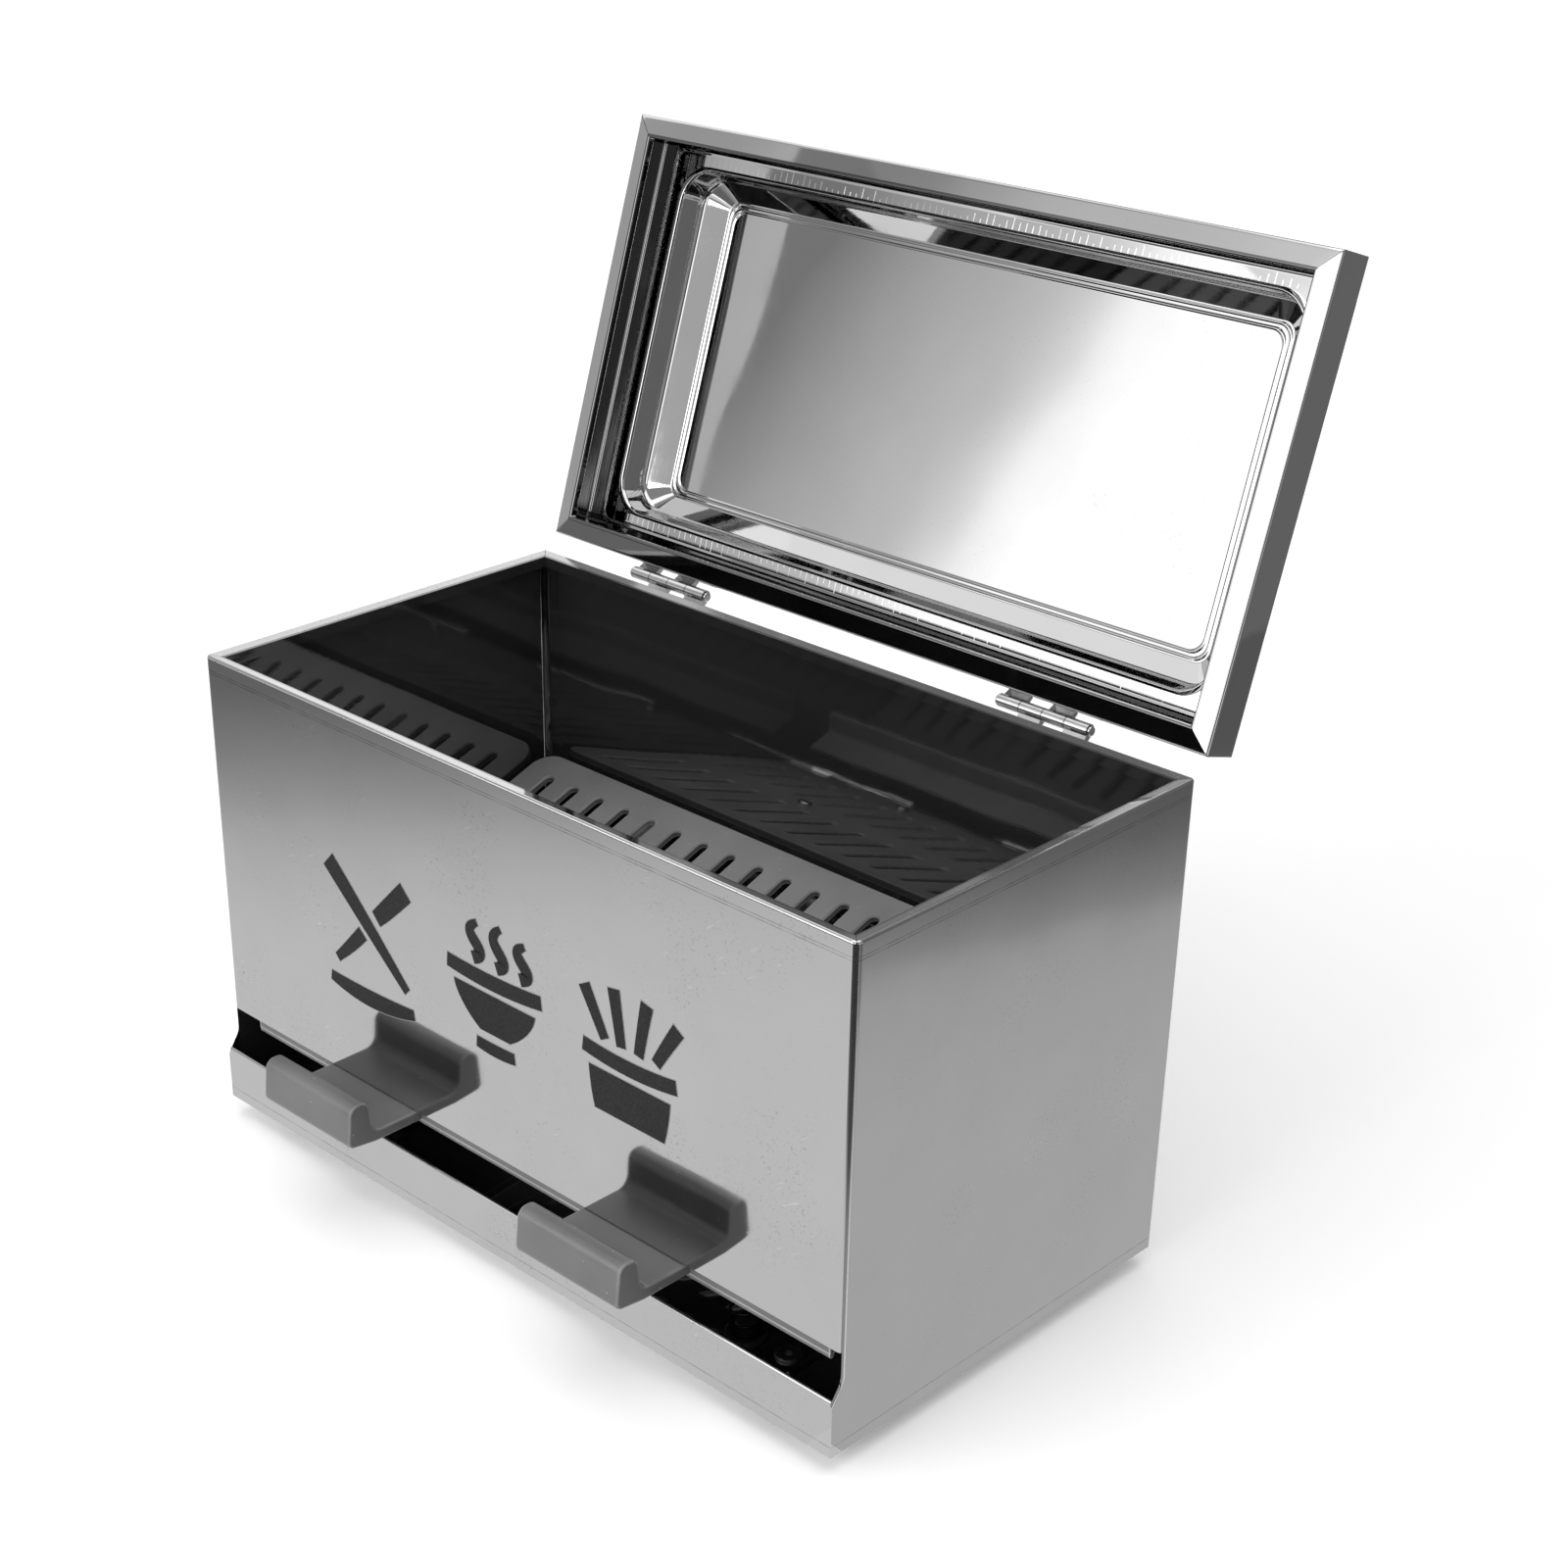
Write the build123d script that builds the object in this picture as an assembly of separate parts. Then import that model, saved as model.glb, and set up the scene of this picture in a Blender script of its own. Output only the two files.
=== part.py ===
"""Countertop chopstick holder: a sheet-steel cabinet with a domed flip lid, a slotted
feed ramp and a sprung rocker whose two arms hand out the chopsticks.

Millimetres. +Z up, front towards -Y. Everything is laid out about the middle of the cabinet's
footprint, and moved at the end by PLACE_Y, so that the origin is on the table under the middle
of the whole part with its lid open. The lid is built closed and then swung open about its
hinge pins, which is its rest place.
"""
import math
import os

from build123d import *

os.makedirs("parts", exist_ok=True)

# ---------------------------------------------------------------- driving dimensions
PLACE_Y = -23.2536            # from the cabinet's middle to the middle of the whole part
WIDTH = 290.0                 # outside width of the cabinet, takes 270 mm chopsticks
DEPTH = 156.0                 # from the fascia's face to the back's face
BODY_HEIGHT = 167.8           # from the cabinet's bottom edge to its rim
FOOT_HEIGHT = 7.0             # rubber feet under the floor
SHEET = 0.8                   # stainless sheet thickness

FASCIA_Y = -DEPTH / 2         # outer face of the lower fascia
PANEL_Y = FASCIA_Y + 3.7      # outer face of the front panel, set back from the fascia
BACK_Y = DEPTH / 2            # outer face of the back
BOTTOM_Z = FOOT_HEIGHT        # underside of the floor
RIM_Z = BOTTOM_Z + BODY_HEIGHT
SLOT_TOP_Z = BOTTOM_Z + 35.0  # lower edge of the front panel
FASCIA_TOP_Z = BOTTOM_Z + 20.0
INNER_X = WIDTH / 2 - SHEET   # inner face of a side wall
FLOOR_Z = BOTTOM_Z + SHEET    # upper face of the floor
WALL_IN_Y = PANEL_Y + SHEET   # inner face of the front panel
BACK_IN_Y = BACK_Y - SHEET    # inner face of the back

CORNER_RADIUS = 2.4           # bend of the wrap at the front corners
BACK_RADIUS = 1.4
RIM_WIDTH = 4.6               # folded rim around the mouth
RIM_FALL = 0.8                # the rim slopes down inwards by this much
RIM_LIP = 3.0                 # turned-down edge inside the rim
RIM_FOLD = 0.9                # rounding of the fold along the rim's outer edge
PANEL_HEM = 5.0
LAP_WIDTH = 6.2               # lap seam in the back left corner

# lid
LID_DEPTH = 151.5
LID_WALL = 15.1               # height of the lid's side walls
LID_GAP = 0.3                 # closed lid above the rim
LID_FLANGE = 7.6              # inward flange round the lid's open side
LID_FLANGE_FALL = 1.3
LID_FLANGE_LIP = 2.0
DOME_MARGIN = 13.5            # lid edge to the foot of the dome
DOME_RISE = 14.2
DOME_RUN_X = 11.9             # horizontal run of the dome's wall, at the ends
DOME_RUN_Y = 8.6              # and along the front and back
DOME_FOOT_CORNER = 13.0
DOME_TOP_CORNER = 5.0
LID_OPEN_DEG = 107.4

# hinges
PIN_Y = BACK_Y + 4.2
PIN_Z = RIM_Z + 1.05
PIN_RADIUS = 1.1
PIN_CLEARANCE = 0.05
KNUCKLE_RADIUS = 2.2
KNUCKLE_COUNT = 4
HINGE_LENGTH = 36.0
HINGE_X = 84.0
LEAF_THICKNESS = 0.8
BOX_LEAF_HEIGHT = 22.0
LID_LEAF_HEIGHT = 10.5
KNUCKLE_GAP = 0.3

# feed ramp
RAMP_TOP_Y = BACK_IN_Y - 3.7
RAMP_TOP_Z = BOTTOM_Z + 89.5
RAMP_FRONT_Y = PANEL_Y + 19.5
RAMP_SLOPE_DEG = 19.7
RAMP_THICKNESS = 2.5
RAMP_HALF_WIDTH = 142.0
RAMP_CORNER = 9.0
RAMP_SKIRT = 5.6              # turned-down front edge, back wall of the pick-up chamber
SLOT_PITCH = 13.5
SLOT_COLUMNS = 20
SLOT_WIDTH = 4.2
SLOT_BEVEL = 0.6              # bevel round each slot on the ramp's upper face
SLOT_ROWS = ((10.5, 56.0), (76.0, 119.0))   # from and to, measured down the slope

# deflector over the throat
DEFLECTOR_X = (-133.0, 139.0)
DEFLECTOR_THICKNESS = 2.0

# rocker with its two arms
ROCKER_X = (-132.8, 138.6)
ROCKER_FRONT_Y = PANEL_Y + 2.0
ROCKER_PLATE_REAR_Y = PANEL_Y + 34.0
ROCKER_REAR_Y = PANEL_Y + 80.0
ROCKER_TOP_Z = BOTTOM_Z + 34.6
ROCKER_PLATE = 2.6
ROCKER_EDGE = 4.0
ARM_WIDTH = 45.0
ARM_CENTRES = (-67.1, 58.6)
LEVER_X = ((-126.0, -58.0), (58.0, 126.0))
HUB_RADIUS = 5.6
HUB_WIDTH = 4.0
SHAFT_Y = PANEL_Y + 74.0
SHAFT_Z = BOTTOM_Z + 24.0
SHAFT_RADIUS = 2.5
SHAFT_HALF_LENGTH = 130.0
SHAFT_CLEARANCE = 0.05
CLIP_RADIUS = 4.6
CLIP_THICKNESS = 0.8

# bearing brackets
BRACKET_WEB_X = 109.0
BRACKET_SHEET = 1.2
BRACKET_FLANGE = 13.0
BRACKET_FRONT_Y = PANEL_Y + 15.0
BRACKET_REAR_Y = PANEL_Y + 84.0
BRACKET_EAR_RADIUS = 5.4
RIVET_X = 104.0
RIVET_FRONT_Y = PANEL_Y + 22.0
RIVET_REAR_Y = PANEL_Y + 62.0
RIVET_HEAD_RADIUS = 4.4
RIVET_SHANK_RADIUS = 2.4
RIVET_BORE_RADIUS = 1.3
FIT = 0.03                    # radial clearance of rivets, screws and stems in their holes

# ramp supports
SUPPORT_X = 72.0
SUPPORT_FLANGE = 12.0
SUPPORT_SHEET = 1.2
SUPPORT_WEB = 6.0
SUPPORT_LEG_Y = (PANEL_Y + 88.0, PANEL_Y + 104.0)
SUPPORT_FRONT_Y = PANEL_Y + 24.0
SUPPORT_REAR_Y = BACK_IN_Y - 5.5
SCREW_ALONG = (66.0, 127.0)   # screw places measured down the slope
SCREW_HEAD_RADIUS = 3.0
SCREW_SHANK_RADIUS = 1.5

# return springs
SPRING_X = 86.0
SPRING_Y = PANEL_Y + 22.0
SPRING_COIL_RADIUS = 5.0
SPRING_WIRE_RADIUS = 0.5
SPRING_TURNS = 7
SEAT_RADIUS = 6.8
SEAT_THICKNESS = 1.2
SEAT_STUD_RADIUS = 3.6
SEAT_STUD_HEIGHT = 4.0
SPRING_STUD_RADIUS = 3.6

# feet
FOOT_X = 116.0
FOOT_Y = FASCIA_Y + 13.1
FOOT_TOP_RADIUS = 8.0
FOOT_BASE_RADIUS = 7.0
FOOT_STEM_RADIUS = 2.6
FOOT_BARB_RADIUS = 3.6


# ---------------------------------------------------------------- helpers
def span(x0, x1, y0, y1, z0, z1):
    """A block between two opposite corners."""
    middle = ((x0 + x1) / 2, (y0 + y1) / 2, (z0 + z1) / 2)
    return Pos(*middle) * Box(x1 - x0, y1 - y0, z1 - z0)


def rounded_outline(corners):
    """A closed face from (u, v, radius) corners, each corner rounded by its radius."""
    count = len(corners)
    starts = []
    ends = []
    mids = []
    for index, (u, v, radius) in enumerate(corners):
        before = Vector(*corners[index - 1][:2])
        after = Vector(*corners[(index + 1) % count][:2])
        here = Vector(u, v)
        to_before = (before - here).normalized()
        to_after = (after - here).normalized()
        half = math.radians(to_before.get_angle(to_after)) / 2
        reach = radius / math.tan(half)
        bisector = (to_before + to_after).normalized()
        starts.append(here + to_before * reach)
        ends.append(here + to_after * reach)
        mids.append(here + bisector * (radius / math.sin(half) - radius))
    edges = []
    for index in range(count):
        if corners[index][2] > 0:
            edges.append(ThreePointArc(starts[index], mids[index], ends[index]))
        edges.append(Line(ends[index], starts[(index + 1) % count]))
    return make_face(edges)


def prism_x(corners, x0, x1):
    """Extrude a (y, z, radius) outline from x0 to x1."""
    face = Plane.YZ * rounded_outline(corners)
    return Pos(x0, 0, 0) * extrude(face, x1 - x0)


def rod_x(y, z, radius, x0, x1):
    """A round bar along X."""
    return Pos((x0 + x1) / 2, y, z) * Rot(Y=90) * Cylinder(radius, x1 - x0)


def rod_z(x, y, radius, z0, z1):
    """A round bar along Z."""
    return Pos(x, y, (z0 + z1) / 2) * Cylinder(radius, z1 - z0)


def rectangle_at(width, depth, y_middle, z, radius=0.0):
    """A horizontal rectangle face, rounded if a radius is given."""
    flat = RectangleRounded(width, depth, radius) if radius > 0 else Rectangle(width, depth)
    return Pos(0, y_middle, z) * flat


def frustum(lower, upper):
    """A solid between two horizontal faces."""
    return loft([lower, upper], ruled=True)


def swung_open(shape):
    """Turn a lid part from closed to its open rest place about the hinge pins."""
    return Pos(0, PIN_Y, PIN_Z) * Rot(X=-LID_OPEN_DEG) * Pos(0, -PIN_Y, -PIN_Z) * shape


def ramp_z(y):
    """Height of the ramp's upper face at a given y."""
    return RAMP_TOP_Z - (RAMP_TOP_Y - y) * math.tan(math.radians(RAMP_SLOPE_DEG))


def on_ramp(shape, x, along):
    """Place a shape on the ramp's upper face, its +Z along the ramp's normal."""
    slope = math.radians(RAMP_SLOPE_DEG)
    y = RAMP_TOP_Y - along * math.cos(slope)
    z = RAMP_TOP_Z - along * math.sin(slope)
    return Pos(x, y, z) * Rot(X=RAMP_SLOPE_DEG) * shape


# ---------------------------------------------------------------- cabinet sheet metal
def make_body_shell():
    """One wrap of sheet: front panel, sides, back and the folded rim."""
    side_outline = [
        (BACK_Y, BOTTOM_Z, 0),
        (BACK_Y, RIM_Z, 0),
        (PANEL_Y, RIM_Z, 0),
        (PANEL_Y, SLOT_TOP_Z - 9.5, 6.0),
        (FASCIA_Y, FASCIA_TOP_Z, 0),
        (FASCIA_Y, BOTTOM_Z, 0),
    ]
    shell = prism_x(side_outline, -WIDTH / 2, WIDTH / 2)
    uprights = shell.edges().filter_by(Axis.Z).filter_by(lambda e: e.length > 100)
    shell = fillet(uprights.filter_by(lambda e: e.center().Y < 0), CORNER_RADIUS)
    uprights = shell.edges().filter_by(Axis.Z).filter_by(lambda e: e.length > 100)
    shell = fillet(uprights.filter_by(lambda e: e.center().Y > BACK_Y - 0.5), BACK_RADIUS)
    folds = shell.edges().filter_by(lambda e: e.bounding_box().min.Z > RIM_Z - 0.01)
    shell = fillet(folds, RIM_FOLD)

    cavity_outline = [
        (FASCIA_Y - 5, BOTTOM_Z - 5, 0),
        (BACK_IN_Y, BOTTOM_Z - 5, 0),
        (BACK_IN_Y, RIM_Z - 2 * RIM_FALL, 0),
        (WALL_IN_Y, RIM_Z - 2 * RIM_FALL, 0),
        (WALL_IN_Y, SLOT_TOP_Z, 0),
        (FASCIA_Y - 5, SLOT_TOP_Z, 0),
    ]
    shell -= prism_x(cavity_outline, -INNER_X, INNER_X)

    mouth_y = (PANEL_Y + BACK_Y) / 2
    panel_depth = BACK_Y - PANEL_Y
    mouth_width = WIDTH - 2 * RIM_WIDTH
    mouth_depth = panel_depth - 2 * RIM_WIDTH
    low = rectangle_at(mouth_width, mouth_depth, mouth_y, RIM_Z - RIM_FALL)
    high = rectangle_at(WIDTH - 2 * RIM_FOLD, panel_depth - 2 * RIM_FOLD, mouth_y, RIM_Z)
    shell -= frustum(low, high)
    mouth = Pos(0, mouth_y, RIM_Z - 2) * Box(mouth_width, mouth_depth, 8)
    shell -= mouth

    lip_top = RIM_Z - 2 * RIM_FALL
    lip_outer = Pos(0, mouth_y, lip_top - RIM_LIP / 2) * Box(
        mouth_width + 2 * SHEET, mouth_depth + 2 * SHEET, RIM_LIP)
    shell += lip_outer - mouth - Pos(0, 0, -6) * mouth
    shell += span(-INNER_X, INNER_X, WALL_IN_Y, WALL_IN_Y + 0.6, SLOT_TOP_Z, SLOT_TOP_Z + PANEL_HEM)
    shell += span(-INNER_X, -INNER_X + LAP_WIDTH, BACK_IN_Y - SHEET, BACK_IN_Y,
                  BOTTOM_Z + 6, RIM_Z - 5)
    return shell


def make_base_tray():
    """Floor with upturned edges and the hemmed fascia along its front."""
    tray = span(-INNER_X, INNER_X, FASCIA_Y, BACK_IN_Y, BOTTOM_Z, FLOOR_Z)
    upstand = 4.0
    for side in (-1, 1):
        edge = sorted((side * INNER_X, side * (INNER_X - SHEET)))
        tray += span(edge[0], edge[1], FASCIA_Y + 2, BACK_IN_Y, FLOOR_Z, FLOOR_Z + upstand)
    tray += span(-INNER_X, INNER_X, BACK_IN_Y - SHEET, BACK_IN_Y, FLOOR_Z, FLOOR_Z + upstand)
    fascia = span(-INNER_X, INNER_X, FASCIA_Y, FASCIA_Y + SHEET, BOTTOM_Z, FASCIA_TOP_Z)
    fascia += span(-INNER_X, INNER_X, FASCIA_Y, FASCIA_Y + 2 * SHEET, FASCIA_TOP_Z - 5,
                   FASCIA_TOP_Z)
    crest = fascia.edges().filter_by(Axis.X).filter_by(lambda e: e.center().Z > FASCIA_TOP_Z - 0.1)
    tray += fillet(crest, 0.7)
    for x, y in floor_rivet_places():
        tray -= rod_z(x, y, RIVET_SHANK_RADIUS + FIT, BOTTOM_Z - 1, FLOOR_Z + 1)
    for x, y in foot_places():
        tray -= rod_z(x, y, FOOT_STEM_RADIUS + FIT, BOTTOM_Z - 1, FLOOR_Z + 1)
    return tray


# ---------------------------------------------------------------- lid
def dome(shrink, drop):
    """The raised centre of the lid, as a closed form; shrink and drop give its inner skin."""
    lid_y = BACK_Y - LID_DEPTH / 2
    shoulder_z = RIM_Z + LID_GAP + LID_WALL
    foot_width = WIDTH - 2 * DOME_MARGIN - 2 * shrink
    foot_depth = LID_DEPTH - 2 * DOME_MARGIN - 2 * shrink
    foot = rectangle_at(foot_width, foot_depth, lid_y, shoulder_z - drop, DOME_FOOT_CORNER)
    top = rectangle_at(foot_width - 2 * DOME_RUN_X, foot_depth - 2 * DOME_RUN_Y, lid_y,
                       shoulder_z + DOME_RISE - drop, DOME_TOP_CORNER)
    return frustum(foot, top)


def soften(shape, z, radius):
    """Round the ring of edges that lies at height z inside the lid's outline."""
    def on_ring(edge):
        box = edge.bounding_box()
        level = abs(box.min.Z - z) < 0.01 and abs(box.max.Z - z) < 0.01
        inside = abs(edge.center().X) < WIDTH / 2 - 8 and edge.center().Y < BACK_Y - 8
        return level and inside and edge.center().Y > BACK_Y - LID_DEPTH + 8
    return fillet(shape.edges().filter_by(on_ring), radius)


def make_lid_shell():
    """Lid pan with a raised dome, side walls and an inward flange with mitred corners."""
    lid_y = BACK_Y - LID_DEPTH / 2
    base_z = RIM_Z + LID_GAP
    shoulder_z = base_z + LID_WALL
    front_y = BACK_Y - LID_DEPTH

    outside = span(-WIDTH / 2, WIDTH / 2, front_y, BACK_Y, base_z, shoulder_z)
    outside += dome(0, 0)
    outside = soften(outside, shoulder_z, 4.0)
    outside = soften(outside, shoulder_z + DOME_RISE, 3.4)
    shoulder_edges = outside.edges().filter_by(
        lambda e: abs(e.center().Z - shoulder_z) < 0.01 and (
            abs(e.center().X) > WIDTH / 2 - 0.1
            or abs(e.center().Y - BACK_Y) < 0.1
            or abs(e.center().Y - front_y) < 0.1))
    outside = fillet(shoulder_edges, 1.0)

    inside = span(-INNER_X, INNER_X, front_y + SHEET, BACK_IN_Y, base_z, shoulder_z - SHEET)
    inside += dome(0.6, SHEET)
    inside = soften(inside, shoulder_z - SHEET, 4.6)
    inside = soften(inside, shoulder_z + DOME_RISE - SHEET, 2.8)

    flange_in_x = WIDTH - 2 * LID_FLANGE
    flange_in_y = LID_DEPTH - 2 * LID_FLANGE
    skirt_low = rectangle_at(flange_in_x, flange_in_y, lid_y, base_z - LID_FLANGE_FALL)
    skirt_high = rectangle_at(WIDTH, LID_DEPTH, lid_y, base_z)
    skirt = frustum(skirt_low, skirt_high)
    opening = Pos(0, lid_y, base_z) * Box(flange_in_x, flange_in_y, 12)
    floor_of_inside = Pos(0, 0, SHEET) * frustum(
        rectangle_at(flange_in_x, flange_in_y, lid_y, base_z - LID_FLANGE_FALL),
        rectangle_at(WIDTH - 2 * SHEET, LID_DEPTH - 2 * SHEET, lid_y, base_z))
    inside -= span(-WIDTH, WIDTH, -DEPTH, DEPTH, base_z - 1, base_z + SHEET)

    lid = outside + skirt - inside - floor_of_inside - opening
    lip_ring = Pos(0, lid_y, base_z - LID_FLANGE_FALL + SHEET + LID_FLANGE_LIP / 2) * Box(
        flange_in_x + 2 * SHEET, flange_in_y + 2 * SHEET, LID_FLANGE_LIP)
    lid += lip_ring - opening
    return lid


# ---------------------------------------------------------------- hinges
def knuckle_spans(owner):
    """The x spans of one leaf's knuckles; owner 0 is the lid's leaf, 1 the cabinet's."""
    pitch = HINGE_LENGTH / KNUCKLE_COUNT
    spans = []
    for index in range(owner, KNUCKLE_COUNT, 2):
        start = -HINGE_LENGTH / 2 + index * pitch
        spans.append((start + KNUCKLE_GAP / 2, start + pitch - KNUCKLE_GAP / 2))
    return spans


def make_box_leaf(x_middle):
    """Hinge leaf spot-welded to the outside of the cabinet's back."""
    top_z = RIM_Z - 3.4
    leaf = span(-HINGE_LENGTH / 2, HINGE_LENGTH / 2, BACK_Y, BACK_Y + LEAF_THICKNESS,
                top_z - BOX_LEAF_HEIGHT, top_z)
    lower = leaf.edges().filter_by(Axis.Y).filter_by(lambda e: e.center().Z < top_z - 5)
    leaf = fillet(lower, 3.0)
    for x0, x1 in knuckle_spans(1):
        web = [
            (BACK_Y, top_z - 0.2, 0),
            (BACK_Y + LEAF_THICKNESS, top_z - 1.4, 0),
            (PIN_Y + 1.6, PIN_Z - 1.5, 0),
            (PIN_Y - 1.2, PIN_Z - 0.5, 0),
        ]
        leaf += prism_x(web, x0, x1)
        leaf += rod_x(PIN_Y, PIN_Z, KNUCKLE_RADIUS, x0, x1)
    leaf -= rod_x(PIN_Y, PIN_Z, PIN_RADIUS + PIN_CLEARANCE, -HINGE_LENGTH, HINGE_LENGTH)
    return Pos(x_middle, 0, 0) * leaf


def make_lid_leaf(x_middle):
    """Hinge leaf spot-welded to the lid's back wall, built with the lid closed."""
    low_z = RIM_Z + 4.8
    leaf = span(-HINGE_LENGTH / 2, HINGE_LENGTH / 2, BACK_Y, BACK_Y + LEAF_THICKNESS,
                low_z, low_z + LID_LEAF_HEIGHT - 1.5)
    upper = leaf.edges().filter_by(Axis.Y).filter_by(lambda e: e.center().Z > low_z + 5)
    leaf = fillet(upper, 3.0)
    for x0, x1 in knuckle_spans(0):
        web = [
            (BACK_Y, low_z + 0.2, 0),
            (PIN_Y - 1.2, PIN_Z + 0.5, 0),
            (PIN_Y + 1.6, PIN_Z + 1.5, 0),
            (BACK_Y + LEAF_THICKNESS, low_z + 1.4, 0),
        ]
        leaf += prism_x(web, x0, x1)
        leaf += rod_x(PIN_Y, PIN_Z, KNUCKLE_RADIUS, x0, x1)
    leaf -= rod_x(PIN_Y, PIN_Z, PIN_RADIUS + PIN_CLEARANCE, -HINGE_LENGTH, HINGE_LENGTH)
    return Pos(x_middle, 0, 0) * leaf


def make_hinge_pin(x_middle):
    """Headed pin through the four knuckles."""
    reach = HINGE_LENGTH / 2 + 0.1
    pin = rod_x(PIN_Y, PIN_Z, PIN_RADIUS, -reach, reach)
    for side in (-1, 1):
        ends = sorted((side * reach, side * (reach + 0.8)))
        head = rod_x(PIN_Y, PIN_Z, 1.7, ends[0], ends[1])
        rim = head.edges().filter_by(GeomType.CIRCLE).sort_by(Axis.X)
        outer = rim[-1] if side > 0 else rim[0]
        pin += fillet(outer, 0.5)
    return Pos(x_middle, 0, 0) * pin


# ---------------------------------------------------------------- feed ramp
def make_ramp():
    """Slotted sloping plate with a turned-down front edge."""
    slope = math.radians(RAMP_SLOPE_DEG)
    length = (RAMP_TOP_Y - RAMP_FRONT_Y) / math.cos(slope)
    plate = Box(2 * RAMP_HALF_WIDTH, length, RAMP_THICKNESS)
    corners = plate.edges().filter_by(Axis.Z).filter_by(lambda e: e.center().Y > 0)
    plate = fillet(corners, RAMP_CORNER)
    brim = plate.edges().filter_by(
        lambda e: abs(e.center().Z - RAMP_THICKNESS / 2) < 0.01 and e.center().Y > -length / 2 + 0.1)
    plate = fillet(brim, 0.7)
    plate = Pos(0, -length / 2, -RAMP_THICKNESS / 2) * plate
    for low, high in SLOT_ROWS:
        for column in range(SLOT_COLUMNS):
            x = (column - (SLOT_COLUMNS - 1) / 2) * SLOT_PITCH
            middle = -(low + high) / 2
            slot = Rot(Z=90) * SlotOverall(high - low, SLOT_WIDTH)
            plate -= Pos(x, middle, -RAMP_THICKNESS - 1) * extrude(slot, RAMP_THICKNESS + 2)
            mouth = Rot(Z=90) * SlotOverall(high - low + 2 * SLOT_BEVEL, SLOT_WIDTH + 2 * SLOT_BEVEL)
            plate -= Pos(x, middle, 0) * extrude(mouth, -SLOT_BEVEL, taper=45)
    for x in (-SUPPORT_X, SUPPORT_X):
        for along in SCREW_ALONG:
            plate -= Pos(x, -along, 0) * Cylinder(SCREW_SHANK_RADIUS + FIT, 4 * RAMP_THICKNESS)
    ramp = Pos(0, RAMP_TOP_Y, RAMP_TOP_Z) * Rot(X=RAMP_SLOPE_DEG) * plate
    front_z = ramp_z(RAMP_FRONT_Y)
    skirt = [
        (RAMP_FRONT_Y, front_z - 0.2, 0.6),
        (RAMP_FRONT_Y, front_z - RAMP_SKIRT, 0.6),
        (RAMP_FRONT_Y + 2.2, front_z - RAMP_SKIRT, 0.6),
        (RAMP_FRONT_Y + 2.2, front_z + 0.2, 0),
    ]
    ramp += prism_x(skirt, -RAMP_HALF_WIDTH, RAMP_HALF_WIDTH)
    return ramp


def make_ramp_support(x_middle):
    """Folded bracket: sloping flange under the ramp, web and a leg riveted to the floor."""
    slope = math.radians(RAMP_SLOPE_DEG)
    under = RAMP_THICKNESS / math.cos(slope) + 0.02
    side = 1 if x_middle > 0 else -1
    flange = SUPPORT_SHEET / math.cos(slope)

    def top(y):
        return ramp_z(y) - under

    front = SUPPORT_FRONT_Y + 2.0
    rear = SUPPORT_REAR_Y
    leg_front, leg_rear = SUPPORT_LEG_Y
    web = [
        (front, top(front), 0),
        (front, top(front) - SUPPORT_WEB, 1.5),
        (leg_front, top(leg_front) - SUPPORT_WEB - 2, 3.0),
        (leg_front, FLOOR_Z, 0),
        (leg_rear, FLOOR_Z, 0),
        (leg_rear, top(leg_rear) - SUPPORT_WEB - 4, 3.0),
        (rear, top(rear) - SUPPORT_WEB, 1.5),
        (rear, top(rear), 0),
    ]
    sloped = [
        (front, top(front), 0),
        (front, top(front) - flange, 0),
        (rear, top(rear) - flange, 0),
        (rear, top(rear), 0),
    ]
    web_x = sorted((x_middle + side * SUPPORT_FLANGE / 2,
                    x_middle + side * (SUPPORT_FLANGE / 2 - SUPPORT_SHEET)))
    support = prism_x(web, web_x[0], web_x[1])
    support += prism_x(sloped, x_middle - SUPPORT_FLANGE / 2, x_middle + SUPPORT_FLANGE / 2)
    support += span(x_middle - SUPPORT_FLANGE / 2, x_middle + SUPPORT_FLANGE / 2, leg_front,
                    leg_rear, FLOOR_Z, FLOOR_Z + SUPPORT_SHEET)
    for along in SCREW_ALONG:
        support -= on_ramp(Cylinder(SCREW_SHANK_RADIUS + FIT, 16), x_middle, along)
    for x, y in floor_rivet_places():
        support -= rod_z(x, y, RIVET_SHANK_RADIUS + FIT, BOTTOM_Z, FLOOR_Z + 3)
    return support


def make_ramp_screws():
    """Four pan-head screws that hold the ramp to its two supports."""
    screws = []
    for x in (-SUPPORT_X, SUPPORT_X):
        for along in SCREW_ALONG:
            head = Pos(0, 0, 0.7) * Cylinder(SCREW_HEAD_RADIUS, 1.4)
            crown = head.edges().filter_by(GeomType.CIRCLE).sort_by(Axis.Z)[-1]
            head = fillet(crown, 0.9)
            recess = Pos(0, 0, 1.2) * (Box(3.0, 0.7, 1.2) + Box(0.7, 3.0, 1.2))
            shank = Pos(0, 0, -3.0) * Cylinder(SCREW_SHANK_RADIUS, 6.0)
            screws.append(on_ramp(head - recess + shank, x, along))
    return Compound(screws)


def make_deflector():
    """Strip on the front panel that lets one layer of chopsticks through the throat."""
    front = WALL_IN_Y
    profile = [
        (front, BOTTOM_Z + 63.0, 0),
        (front, BOTTOM_Z + 52.6, 0),
        (PANEL_Y + 14.5, BOTTOM_Z + 49.6, 0.8),
        (PANEL_Y + 14.5, BOTTOM_Z + 51.6, 0.8),
        (front + DEFLECTOR_THICKNESS, BOTTOM_Z + 54.9, 1.5),
        (front + DEFLECTOR_THICKNESS, BOTTOM_Z + 63.0, 0.8),
    ]
    return prism_x(profile, DEFLECTOR_X[0], DEFLECTOR_X[1])


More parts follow.
